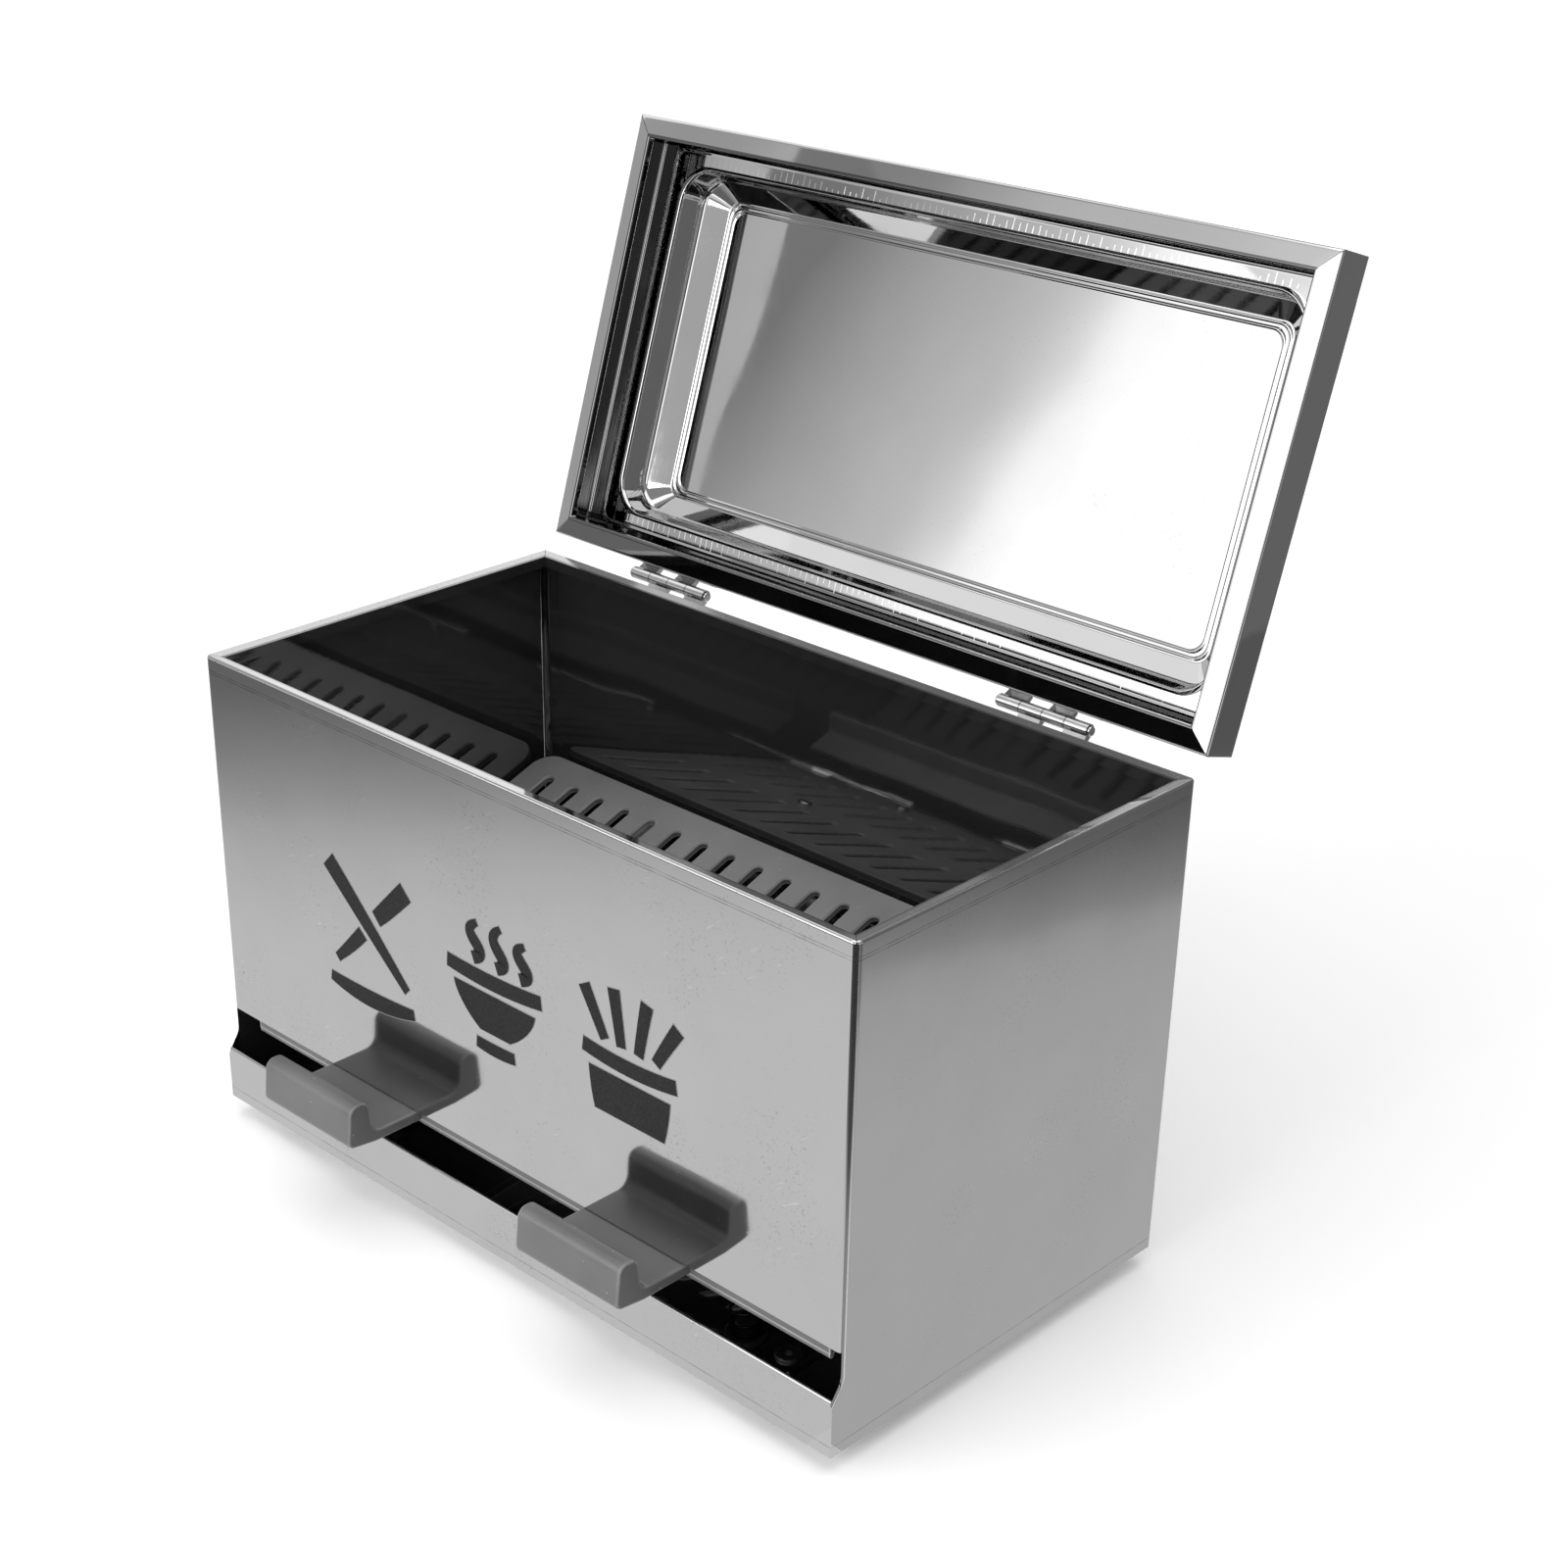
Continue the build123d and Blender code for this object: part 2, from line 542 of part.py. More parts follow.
# ---------------------------------------------------------------- rocker and its bearings
def arm_profile():
    """Side outline of an arm: flat tongue, rounded inner corner and upturned lip."""
    top = ROCKER_TOP_Z
    return [
        (ROCKER_FRONT_Y + 4.0, top, 0),
        (PANEL_Y - 18.4, top, 4.2),
        (PANEL_Y - 19.5, top + 12.2, 3.2),
        (PANEL_Y - 26.9, top + 12.4, 3.6),
        (PANEL_Y - 28.4, top - 2.6, 2.4),
        (PANEL_Y - 17.0, top - ROCKER_EDGE, 6.0),
        (ROCKER_FRONT_Y + 4.0, top - ROCKER_EDGE, 0),
    ]


def make_rocker():
    """Moulded rocker: full-width front plate, two arms outside and two levers to the shaft."""
    x0, x1 = ROCKER_X
    top = ROCKER_TOP_Z
    rocker = span(x0, x1, ROCKER_FRONT_Y, ROCKER_PLATE_REAR_Y, top - ROCKER_PLATE, top)
    rocker += span(x0, x1, ROCKER_FRONT_Y, ROCKER_FRONT_Y + 3.0, top - ROCKER_EDGE, top)
    rocker += span(x0, x1, ROCKER_PLATE_REAR_Y - 2.4, ROCKER_PLATE_REAR_Y, top - 6.0, top)
    for centre in ARM_CENTRES:
        arm = prism_x(arm_profile(), centre - ARM_WIDTH / 2, centre + ARM_WIDTH / 2)
        ends = arm.faces().filter_by(Axis.X)
        rims = ends[0].edges() + ends[1].edges()
        outside = rims.filter_by(lambda e: e.center().Y < PANEL_Y - 2 or e.length > 15)
        arm = fillet(outside, 0.7)
        rocker += arm
    for low, high in LEVER_X:
        rocker += span(low, high, ROCKER_PLATE_REAR_Y - 1, ROCKER_REAR_Y, top - ROCKER_PLATE, top)
        for x in (low, high - HUB_WIDTH):
            rib = [
                (ROCKER_FRONT_Y + 3.0, top - 1, 0),
                (ROCKER_FRONT_Y + 3.0, top - ROCKER_EDGE, 0),
                (SHAFT_Y - HUB_RADIUS, SHAFT_Z, 3.0),
                (SHAFT_Y - HUB_RADIUS, SHAFT_Z - HUB_RADIUS, 5.4),
                (SHAFT_Y + HUB_RADIUS, SHAFT_Z - HUB_RADIUS, 5.4),
                (SHAFT_Y + HUB_RADIUS, top - 1, 0),
            ]
            rocker += prism_x(rib, x, x + HUB_WIDTH)
    for side in (-1, 1):
        rocker += rod_z(side * SPRING_X, SPRING_Y, SPRING_STUD_RADIUS, top - 7.0, top - 1)
    rocker -= rod_x(SHAFT_Y, SHAFT_Z, SHAFT_RADIUS + SHAFT_CLEARANCE, -WIDTH, WIDTH)
    return rocker


def make_shaft():
    """Steel rod on which the rocker turns."""
    return rod_x(SHAFT_Y, SHAFT_Z, SHAFT_RADIUS, -SHAFT_HALF_LENGTH, SHAFT_HALF_LENGTH)


def make_shaft_clips():
    """Two push-on washers that stop the shaft from moving sideways."""
    clips = []
    for side in (-1, 1):
        ends = sorted((side * 127.0, side * (127.0 + CLIP_THICKNESS)))
        clip = rod_x(SHAFT_Y, SHAFT_Z, CLIP_RADIUS, ends[0], ends[1])
        clips.append(clip - rod_x(SHAFT_Y, SHAFT_Z, SHAFT_RADIUS + FIT, -WIDTH, WIDTH))
    return Compound(clips)


def make_bearing_bracket(side):
    """L bracket on the floor with one ear that carries the shaft."""
    web = sorted((side * BRACKET_WEB_X, side * (BRACKET_WEB_X + BRACKET_SHEET)))
    flange = sorted((side * (BRACKET_WEB_X + BRACKET_SHEET),
                     side * (BRACKET_WEB_X + BRACKET_SHEET - BRACKET_FLANGE)))
    bracket = span(flange[0], flange[1], BRACKET_FRONT_Y, BRACKET_REAR_Y, FLOOR_Z,
                   FLOOR_Z + BRACKET_SHEET)
    corners = bracket.edges().filter_by(Axis.Z)
    bracket = fillet(corners, 3.0)
    ear = [
        (SHAFT_Y - 12, FLOOR_Z, 0),
        (SHAFT_Y + 9.5, FLOOR_Z, 0),
        (SHAFT_Y + BRACKET_EAR_RADIUS, SHAFT_Z + BRACKET_EAR_RADIUS, 5.2),
        (SHAFT_Y - BRACKET_EAR_RADIUS, SHAFT_Z + BRACKET_EAR_RADIUS, 5.2),
    ]
    bracket += prism_x(ear, web[0], web[1])
    bracket -= rod_x(SHAFT_Y, SHAFT_Z, SHAFT_RADIUS + SHAFT_CLEARANCE, -WIDTH, WIDTH)
    for x, y in floor_rivet_places():
        bracket -= rod_z(x, y, RIVET_SHANK_RADIUS + FIT, BOTTOM_Z, FLOOR_Z + 3)
    return bracket


def floor_rivet_places():
    """(x, y) of the eyelet rivets through the floor."""
    leg_y = sum(SUPPORT_LEG_Y) / 2
    places = []
    for side in (-1, 1):
        places.append((side * RIVET_X, RIVET_FRONT_Y))
        places.append((side * RIVET_X, RIVET_REAR_Y))
        places.append((side * (SUPPORT_X - 0.6), leg_y))
    return places


def make_floor_rivets():
    """Eyelet rivets: domed ring head above, shank through bracket and floor, upset below."""
    rivets = []
    seat = FLOOR_Z + BRACKET_SHEET
    for x, y in floor_rivet_places():
        head = rod_z(x, y, RIVET_HEAD_RADIUS, seat, seat + 1.1)
        crown = head.edges().filter_by(GeomType.CIRCLE).sort_by(Axis.Z)[-1]
        rivet = fillet(crown, 0.8)
        rivet += rod_z(x, y, RIVET_SHANK_RADIUS, BOTTOM_Z - 0.6, seat + 0.5)
        rivet += rod_z(x, y, RIVET_SHANK_RADIUS + 1.0, BOTTOM_Z - 1.2, BOTTOM_Z)
        rivet -= rod_z(x, y, RIVET_BORE_RADIUS, BOTTOM_Z - 3, seat + 3)
        rivets.append(rivet)
    return Compound(rivets)


# ---------------------------------------------------------------- springs and feet
def make_return_spring(x):
    """Open coil spring between its seat on the floor and the rocker's underside."""
    low = FLOOR_Z + SEAT_THICKNESS + SPRING_WIRE_RADIUS + 0.05
    high = ROCKER_TOP_Z - ROCKER_PLATE - SPRING_WIRE_RADIUS - 0.05
    pitch = (high - low) / SPRING_TURNS
    path = Helix(pitch=pitch, height=high - low, radius=SPRING_COIL_RADIUS)
    section = Plane(origin=path @ 0, z_dir=path % 0) * Circle(SPRING_WIRE_RADIUS)
    return Pos(x, SPRING_Y, low) * sweep(section, path=path)


def make_spring_seats():
    """Two flanged studs on the floor that keep the springs in place."""
    seats = []
    for side in (-1, 1):
        x = side * SPRING_X
        seat = rod_z(x, SPRING_Y, SEAT_RADIUS, FLOOR_Z, FLOOR_Z + SEAT_THICKNESS)
        stud = rod_z(x, SPRING_Y, SEAT_STUD_RADIUS, FLOOR_Z, FLOOR_Z + SEAT_THICKNESS
                     + SEAT_STUD_HEIGHT)
        tip = stud.edges().filter_by(GeomType.CIRCLE).sort_by(Axis.Z)[-1]
        seats.append(seat + fillet(tip, 1.2))
    return Compound(seats)


def foot_places():
    """(x, y) of the four feet, in the order of their names."""
    return [(-FOOT_X, FOOT_Y), (FOOT_X, FOOT_Y), (-FOOT_X, -FOOT_Y), (FOOT_X, -FOOT_Y)]


def make_foot(x, y):
    """Push-in rubber foot: tapered pad, stem through the floor and a barbed head."""
    pad = Pos(x, y, FOOT_HEIGHT / 2) * Cone(FOOT_BASE_RADIUS, FOOT_TOP_RADIUS, FOOT_HEIGHT)
    rim = pad.edges().filter_by(GeomType.CIRCLE).sort_by(Axis.Z)[0]
    foot = fillet(rim, 1.2)
    foot += rod_z(x, y, FOOT_STEM_RADIUS, FOOT_HEIGHT - 1, FLOOR_Z + 1)
    barb = Pos(x, y, FLOOR_Z + 1.2) * Cone(FOOT_BARB_RADIUS, 1.8, 2.4)
    return foot + barb


# ---------------------------------------------------------------- export
def main():
    """Build every piece and write one STEP file for each."""
    pieces = {
        "body_shell": make_body_shell(),
        "base_tray": make_base_tray(),
        "lid_shell": swung_open(make_lid_shell()),
        "left_box_leaf": make_box_leaf(-HINGE_X),
        "right_box_leaf": make_box_leaf(HINGE_X),
        "left_lid_leaf": swung_open(make_lid_leaf(-HINGE_X)),
        "right_lid_leaf": swung_open(make_lid_leaf(HINGE_X)),
        "left_hinge_pin": make_hinge_pin(-HINGE_X),
        "right_hinge_pin": make_hinge_pin(HINGE_X),
        "feed_ramp": make_ramp(),
        "left_ramp_support": make_ramp_support(-SUPPORT_X),
        "right_ramp_support": make_ramp_support(SUPPORT_X),
        "ramp_screws": make_ramp_screws(),
        "throat_deflector": make_deflector(),
        "dispensing_rocker": make_rocker(),
        "rocker_shaft": make_shaft(),
        "shaft_clips": make_shaft_clips(),
        "left_bearing_bracket": make_bearing_bracket(-1),
        "right_bearing_bracket": make_bearing_bracket(1),
        "floor_rivets": make_floor_rivets(),
        "left_return_spring": make_return_spring(-SPRING_X),
        "right_return_spring": make_return_spring(SPRING_X),
        "spring_seats": make_spring_seats(),
    }
    foot_names = ("front_left_foot", "front_right_foot", "rear_left_foot", "rear_right_foot")
    for name, (x, y) in zip(foot_names, foot_places()):
        pieces[name] = make_foot(x, y)
    for name, shape in pieces.items():
        placed = [Pos(0, PLACE_Y, 0) * solid for solid in shape.solids()]
        export_step(Compound(placed), f"parts/{name}.step")


main()
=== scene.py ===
"""A mirror-polished chopstick holder with a domed flip lid, dressed on its CAD frame.

Lengths are written in millimetres in the row's frame and turned to metres when a mesh is made.
"""
import logging
import math
from dataclasses import dataclass
from enum import Enum

import bpy
import numpy as np
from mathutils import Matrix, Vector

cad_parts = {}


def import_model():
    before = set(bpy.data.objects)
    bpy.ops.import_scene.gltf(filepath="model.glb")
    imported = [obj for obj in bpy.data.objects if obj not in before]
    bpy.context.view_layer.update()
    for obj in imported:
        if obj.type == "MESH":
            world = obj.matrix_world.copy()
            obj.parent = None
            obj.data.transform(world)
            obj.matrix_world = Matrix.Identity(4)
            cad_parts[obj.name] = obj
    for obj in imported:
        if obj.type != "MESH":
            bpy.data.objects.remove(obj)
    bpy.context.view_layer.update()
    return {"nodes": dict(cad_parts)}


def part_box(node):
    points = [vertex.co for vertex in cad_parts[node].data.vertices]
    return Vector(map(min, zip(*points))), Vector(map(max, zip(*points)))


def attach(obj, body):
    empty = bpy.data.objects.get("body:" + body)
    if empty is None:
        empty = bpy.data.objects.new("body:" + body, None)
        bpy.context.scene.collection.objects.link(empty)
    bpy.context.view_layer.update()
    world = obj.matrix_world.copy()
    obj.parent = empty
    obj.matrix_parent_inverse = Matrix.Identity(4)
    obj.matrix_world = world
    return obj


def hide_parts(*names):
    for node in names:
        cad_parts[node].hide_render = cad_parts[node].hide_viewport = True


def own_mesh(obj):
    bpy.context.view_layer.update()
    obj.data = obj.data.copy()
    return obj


LOG = logging.getLogger("chopstick_holder")
MM = 0.001
FAR = 0.2  # metres, beyond the object on every side
Point = tuple[float, float, float]


class Body(Enum):
    """The bodies that pieces ride on."""

    CABINET = "cabinet"
    LID = "lid"
    ROCKER = "rocker"


class Slot(Enum):
    """The record's material slots."""

    POLISHED_STEEL = "polished_steel"
    PLATED_STEEL = "plated_steel"
    LIGHT_PLASTIC = "light_plastic"
    GREY_PLASTIC = "grey_plastic"
    DARK_PLASTIC = "dark_plastic"


# ------------------------------------------------------------------ small tools
def linear(hex_code: str) -> tuple[float, float, float, float]:
    """Turns an sRGB hex colour into Blender's linear colour.

    Args:
        hex_code: six hexadecimal digits, with or without a leading hash.

    Returns:
        Linear red, green, blue and an alpha of 1.
    """
    digits = hex_code.lstrip("#")
    srgb = np.array([int(digits[i : i + 2], 16) for i in (0, 2, 4)]) / 255.0
    low = srgb / 12.92
    high = ((srgb + 0.055) / 1.055) ** 2.4
    red, green, blue = np.where(srgb <= 0.04045, low, high)
    return float(red), float(green), float(blue), 1.0


def per_metre(size_mm: float) -> float:
    """Gives the scale at which a pattern's features are a size in millimetres."""
    return 1.0 / (size_mm * MM)


def fill(tree: bpy.types.NodeTree, node: bpy.types.Node, inputs: dict[str | int, object]) -> None:
    """Fills or links a node's inputs.

    Args:
        tree: the node tree.
        node: the node.
        inputs: input names or numbers, each with a value, an output socket, or a node whose first
            output is linked.
    """
    for key, value in inputs.items():
        if isinstance(value, bpy.types.Node):
            value = value.outputs[0]
        if isinstance(value, bpy.types.NodeSocket):
            tree.links.new(value, node.inputs[key])
        else:
            node.inputs[key].default_value = value


def add_node(
    tree: bpy.types.NodeTree,
    kind: str,
    settings: dict[str, object] | None = None,
    inputs: dict[str | int, object] | None = None,
) -> bpy.types.Node:
    """Adds one node, sets its properties, and fills or links its inputs.

    Args:
        tree: the node tree.
        kind: the node's type name, without the ShaderNode prefix.
        settings: property names and values.
        inputs: input names or numbers, as fill takes them.

    Returns:
        The node.
    """
    node = tree.nodes.new("ShaderNode" + kind)
    for name, value in (settings or {}).items():
        setattr(node, name, value)
    fill(tree, node, inputs or {})
    return node


def new_material(name: str) -> tuple[bpy.types.Material, bpy.types.NodeTree, bpy.types.Node]:
    """Makes a material with a Principled shader.

    Args:
        name: what the real material is called.

    Returns:
        The material, its node tree and its Principled node.
    """
    material = bpy.data.materials.new(name)
    material.use_nodes = True
    tree = material.node_tree
    return material, tree, tree.nodes["Principled BSDF"]


def box_mask(
    tree: bpy.types.NodeTree, place: bpy.types.NodeSocket, low: Point, high: Point
) -> bpy.types.NodeSocket:
    """Marks an upright box: 1 inside, 0 outside.

    The distance from the box's middle is divided by its half size on each axis, and the largest
    of the three is compared with 1.

    Args:
        tree: the node tree.
        place: the coordinate.
        low: the box's lowest corner, in the coordinate's own units.
        high: its highest corner.

    Returns:
        The mask.
    """
    middle = tuple((a + b) / 2.0 for a, b in zip(low, high))
    half = tuple((b - a) / 2.0 for a, b in zip(low, high))
    away = add_node(tree, "VectorMath", {"operation": "SUBTRACT"}, {0: place, 1: middle})
    size = add_node(tree, "VectorMath", {"operation": "ABSOLUTE"}, {0: away})
    share = add_node(tree, "VectorMath", {"operation": "DIVIDE"}, {0: size, 1: half})
    parts = add_node(tree, "SeparateXYZ", None, {0: share})
    wide = add_node(tree, "Math", {"operation": "MAXIMUM"}, {0: parts.outputs[0], 1: parts.outputs[1]})
    most = add_node(tree, "Math", {"operation": "MAXIMUM"}, {0: wide, 1: parts.outputs[2]})
    return add_node(tree, "Math", {"operation": "LESS_THAN"}, {0: most, 1: 1.0}).outputs[0]


def union(tree: bpy.types.NodeTree, masks: list[bpy.types.NodeSocket]) -> bpy.types.NodeSocket:
    """Joins masks: 1 where any of them is 1.

    Args:
        tree: the node tree.
        masks: the masks.

    Returns:
        The joined mask.
    """
    joined = masks[0]
    for mask in masks[1:]:
        joined = add_node(tree, "Math", {"operation": "MAXIMUM"}, {0: joined, 1: mask}).outputs[0]
    return joined


def mesh_object(
    name: str, vertices: np.ndarray, faces: np.ndarray, smooth: bool = True
) -> bpy.types.Object:
    """Makes a mesh object at the origin from arrays.

    Args:
        name: the piece's name.
        vertices: an (n, 3) array in millimetres.
        faces: an (m, 3) or (m, 4) array of vertex numbers.
        smooth: whether faces are shaded smooth.

    Returns:
        The object, linked to the scene.
    """
    mesh = bpy.data.meshes.new(name)
    corners = faces.shape[1]
    mesh.vertices.add(len(vertices))
    mesh.vertices.foreach_set("co", (vertices * MM).astype(np.float32).ravel())
    mesh.loops.add(faces.size)
    mesh.loops.foreach_set("vertex_index", faces.astype(np.int32).ravel())
    mesh.polygons.add(len(faces))
    mesh.polygons.foreach_set("loop_start", np.arange(len(faces), dtype=np.int32) * corners)
    mesh.polygons.foreach_set("use_smooth", np.full(len(faces), smooth))
    mesh.update(calc_edges=True)
    mesh.validate()
    piece = bpy.data.objects.new(name, mesh)
    bpy.context.scene.collection.objects.link(piece)
    return piece


def grid_faces(rows: int, columns: int, wrap: bool) -> np.ndarray:
    """Numbers the quads of a grid whose points are stored row by row.

    Args:
        rows: number of rows of points.
        columns: number of points in a row.
        wrap: whether the last column joins the first.

    Returns:
        An (m, 4) array of vertex numbers.
    """
    steps = columns if wrap else columns - 1
    row, column = np.meshgrid(np.arange(rows - 1), np.arange(steps), indexing="ij")
    here = row * columns + column
    right = row * columns + (column + 1) % columns
    return np.stack([here, right, right + columns, here + columns], axis=-1).reshape(-1, 4)


def tube_faces(rows: int, columns: int) -> np.ndarray:
    """Numbers the triangles of a closed tube: its sides, and a fan over each end.

    Args:
        rows: number of sections.
        columns: number of points in a section.

    Returns:
        An (m, 3) array of vertex numbers.
    """
    quads = grid_faces(rows, columns, wrap=True)
    spokes = np.arange(1, columns - 1)
    fan = np.stack([np.zeros_like(spokes), spokes, spokes + 1], axis=-1)
    last = (rows - 1) * columns
    return np.concatenate([quads[:, [0, 1, 2]], quads[:, [0, 2, 3]], fan[:, ::-1], fan + last])


# ------------------------------------------------------------------ finishes
Mask = bpy.types.NodeSocket | float


@dataclass(frozen=True)
class Marks:
    """Where a sheet carries dark marks, pale marks, and its clear unbuffed side: masks or 0."""

    dark: Mask = 0.0
    pale: Mask = 0.0
    clear: Mask = 0.0


def mitre_mask(
    tree: bpy.types.NodeTree, inset: bpy.types.Node, width: float, reach: float
) -> bpy.types.NodeSocket:
    """Marks the mitre lines of a rectangular fold, where the distances in from two edges agree.

    Args:
        tree: the node tree.
        inset: a vector node that gives the distances in from the ends and from the long edges.
        width: the line's width, in metres.
        reach: how far in the lines go, in metres.

    Returns:
        The mask.
    """
    parts = add_node(tree, "SeparateXYZ", None, {0: inset})
    across, along = parts.outputs[0], parts.outputs[1]
    line = add_node(tree, "Math", {"operation": "COMPARE"}, {0: across, 1: along, 2: width / 2.0})
    near = add_node(tree, "Math", {"operation": "MINIMUM"}, {0: across, 1: along})
    edge = add_node(tree, "Math", {"operation": "LESS_THAN"}, {0: near, 1: reach})
    return add_node(tree, "Math", {"operation": "MULTIPLY"}, {0: line, 1: edge}).outputs[0]


@dataclass(frozen=True)
class BuffedSheet:
    """304 stainless sheet, buffed to a mirror and bent cold.

    It gives a clear but slightly wavy reflection, veiled in places by haze and fine pits, with
    faint hairlines from the buffing wheel.
    """

    name: str
    colour: str = "BCBCBC"
    mark_colour: str = "4A4A4A"
    inside_shade_colour: str = "858585"  # the unbuffed side, a clearer mirror whose colour is darkened as painted shade of the cabinet's interior
    clear_roughness: float = 0.03
    film: float = 0.07
    roughness: float = 0.07
    haze: float = 0.10            # how much the haze blurs it
    haze_mm: float = 30.0         # size of the hazy patches
    wave_mm: float = 60.0         # length of the sheet's waves
    wave_depth_mm: float = 0.25
    hairline_mm: float = 0.5      # spacing of buffing hairlines, drawn coarse enough to show
    hairline_depth: float = 0.012
    pit_mm: float = 2.2           # spacing of the fine pits, drawn coarse enough to show
    pit_share: float = 0.05

    def place(self, tree: bpy.types.NodeTree) -> bpy.types.NodeSocket:
        """Gives the coordinate that the finish follows, in metres."""
        return add_node(tree, "TexCoord").outputs["Object"]

    def marks(self, tree: bpy.types.NodeTree, place: bpy.types.NodeSocket) -> Marks:
        """Draws the piece's own marks, of which plain sheet has none."""
        return Marks()

    def build(self) -> bpy.types.Material:
        """Makes the material.

        Returns:
            The finished material.
        """
        material, tree, shader = new_material(self.name)
        place = self.place(tree)
        marks = self.marks(tree, place)
        blot = add_node(
            tree, "TexNoise", None,
            {"Vector": place, "Scale": per_metre(self.haze_mm), "Detail": 7.0, "Roughness": 0.62},
        )
        veil = add_node(tree, "MapRange", None, {0: blot, 1: 0.40, 2: 0.74})
        veiled = add_node(
            tree, "Math", {"operation": "SUBTRACT", "use_clamp": True}, {0: veil, 1: marks.clear}
        )
        pits = add_node(
            tree, "TexVoronoi", None, {"Vector": place, "Scale": per_metre(self.pit_mm), "Randomness": 1.0}
        )
        pit = add_node(
            tree, "MapRange", None, {0: pits, 1: self.pit_share, 2: self.pit_share * 2.6, 3: 1.0, 4: 0.0}
        )
        pitted = add_node(tree, "Math", {"operation": "MULTIPLY"}, {0: pit, 1: veiled})
        blur = add_node(
            tree, "MapRange", None, {0: veiled, 3: self.roughness, 4: self.roughness + self.haze}
        )
        clear_blur = add_node(
            tree, "Mix", None, {0: marks.clear, 2: blur, 3: self.clear_roughness}
        )
        rough = add_node(tree, "Mix", None, {0: marks.pale, 2: clear_blur, 3: 0.5})
        cloud = add_node(tree, "MapRange", None, {0: blot, 1: 0.3, 2: 0.7, 3: 0.0, 4: 0.10})
        buffed = add_node(
            tree, "Mix", {"data_type": "RGBA"}, {0: cloud, 6: linear(self.colour), 7: linear("8E8E8E")}
        )
        # painted shade: the inside takes the darker colour, standing for the shade inside the cabinet
        tone_with_inside_shade = add_node(
            tree, "Mix", {"data_type": "RGBA"},
            {0: marks.clear, 6: buffed.outputs[2], 7: linear(self.inside_shade_colour)},
        )
        faint = add_node(tree, "Math", {"operation": "MULTIPLY"}, {0: pitted, 1: 0.35})
        spots = add_node(tree, "Math", {"operation": "MAXIMUM"}, {0: faint, 1: marks.dark})
        spotted = add_node(
            tree, "Mix", {"data_type": "RGBA"}, {0: spots, 6: tone_with_inside_shade.outputs[2], 7: linear(self.mark_colour)}
        )
        tone = add_node(
            tree, "Mix", {"data_type": "RGBA"},
            {0: marks.pale, 6: spotted.outputs[2], 7: linear("F4F4F4")},
        )
        wave = add_node(
            tree, "TexNoise", None, {"Vector": place, "Scale": per_metre(self.wave_mm), "Detail": 1.0}
        )
        waves = add_node(
            tree, "Bump", None, {"Height": wave, "Strength": 1.0, "Distance": self.wave_depth_mm * MM}
        )
        drawn = add_node(tree, "Mapping", None, {"Vector": place, "Scale": (0.04, 0.04, 1.0)})
        hair = add_node(
            tree, "TexNoise", None,
            {"Vector": drawn, "Scale": per_metre(self.hairline_mm), "Detail": 2.0},
        )
        hairs = add_node(
            tree, "Bump", None,
            {"Height": hair, "Strength": self.hairline_depth, "Distance": 0.0002, "Normal": waves},
        )
        bare = add_node(tree, "MapRange", None, {0: marks.clear, 3: 1.0, 4: 1.0 - self.film})
        fill(tree, shader, {
            "Base Color": tone.outputs[2], "Roughness": rough, "Normal": hairs, "Metallic": bare,
        })
        return material


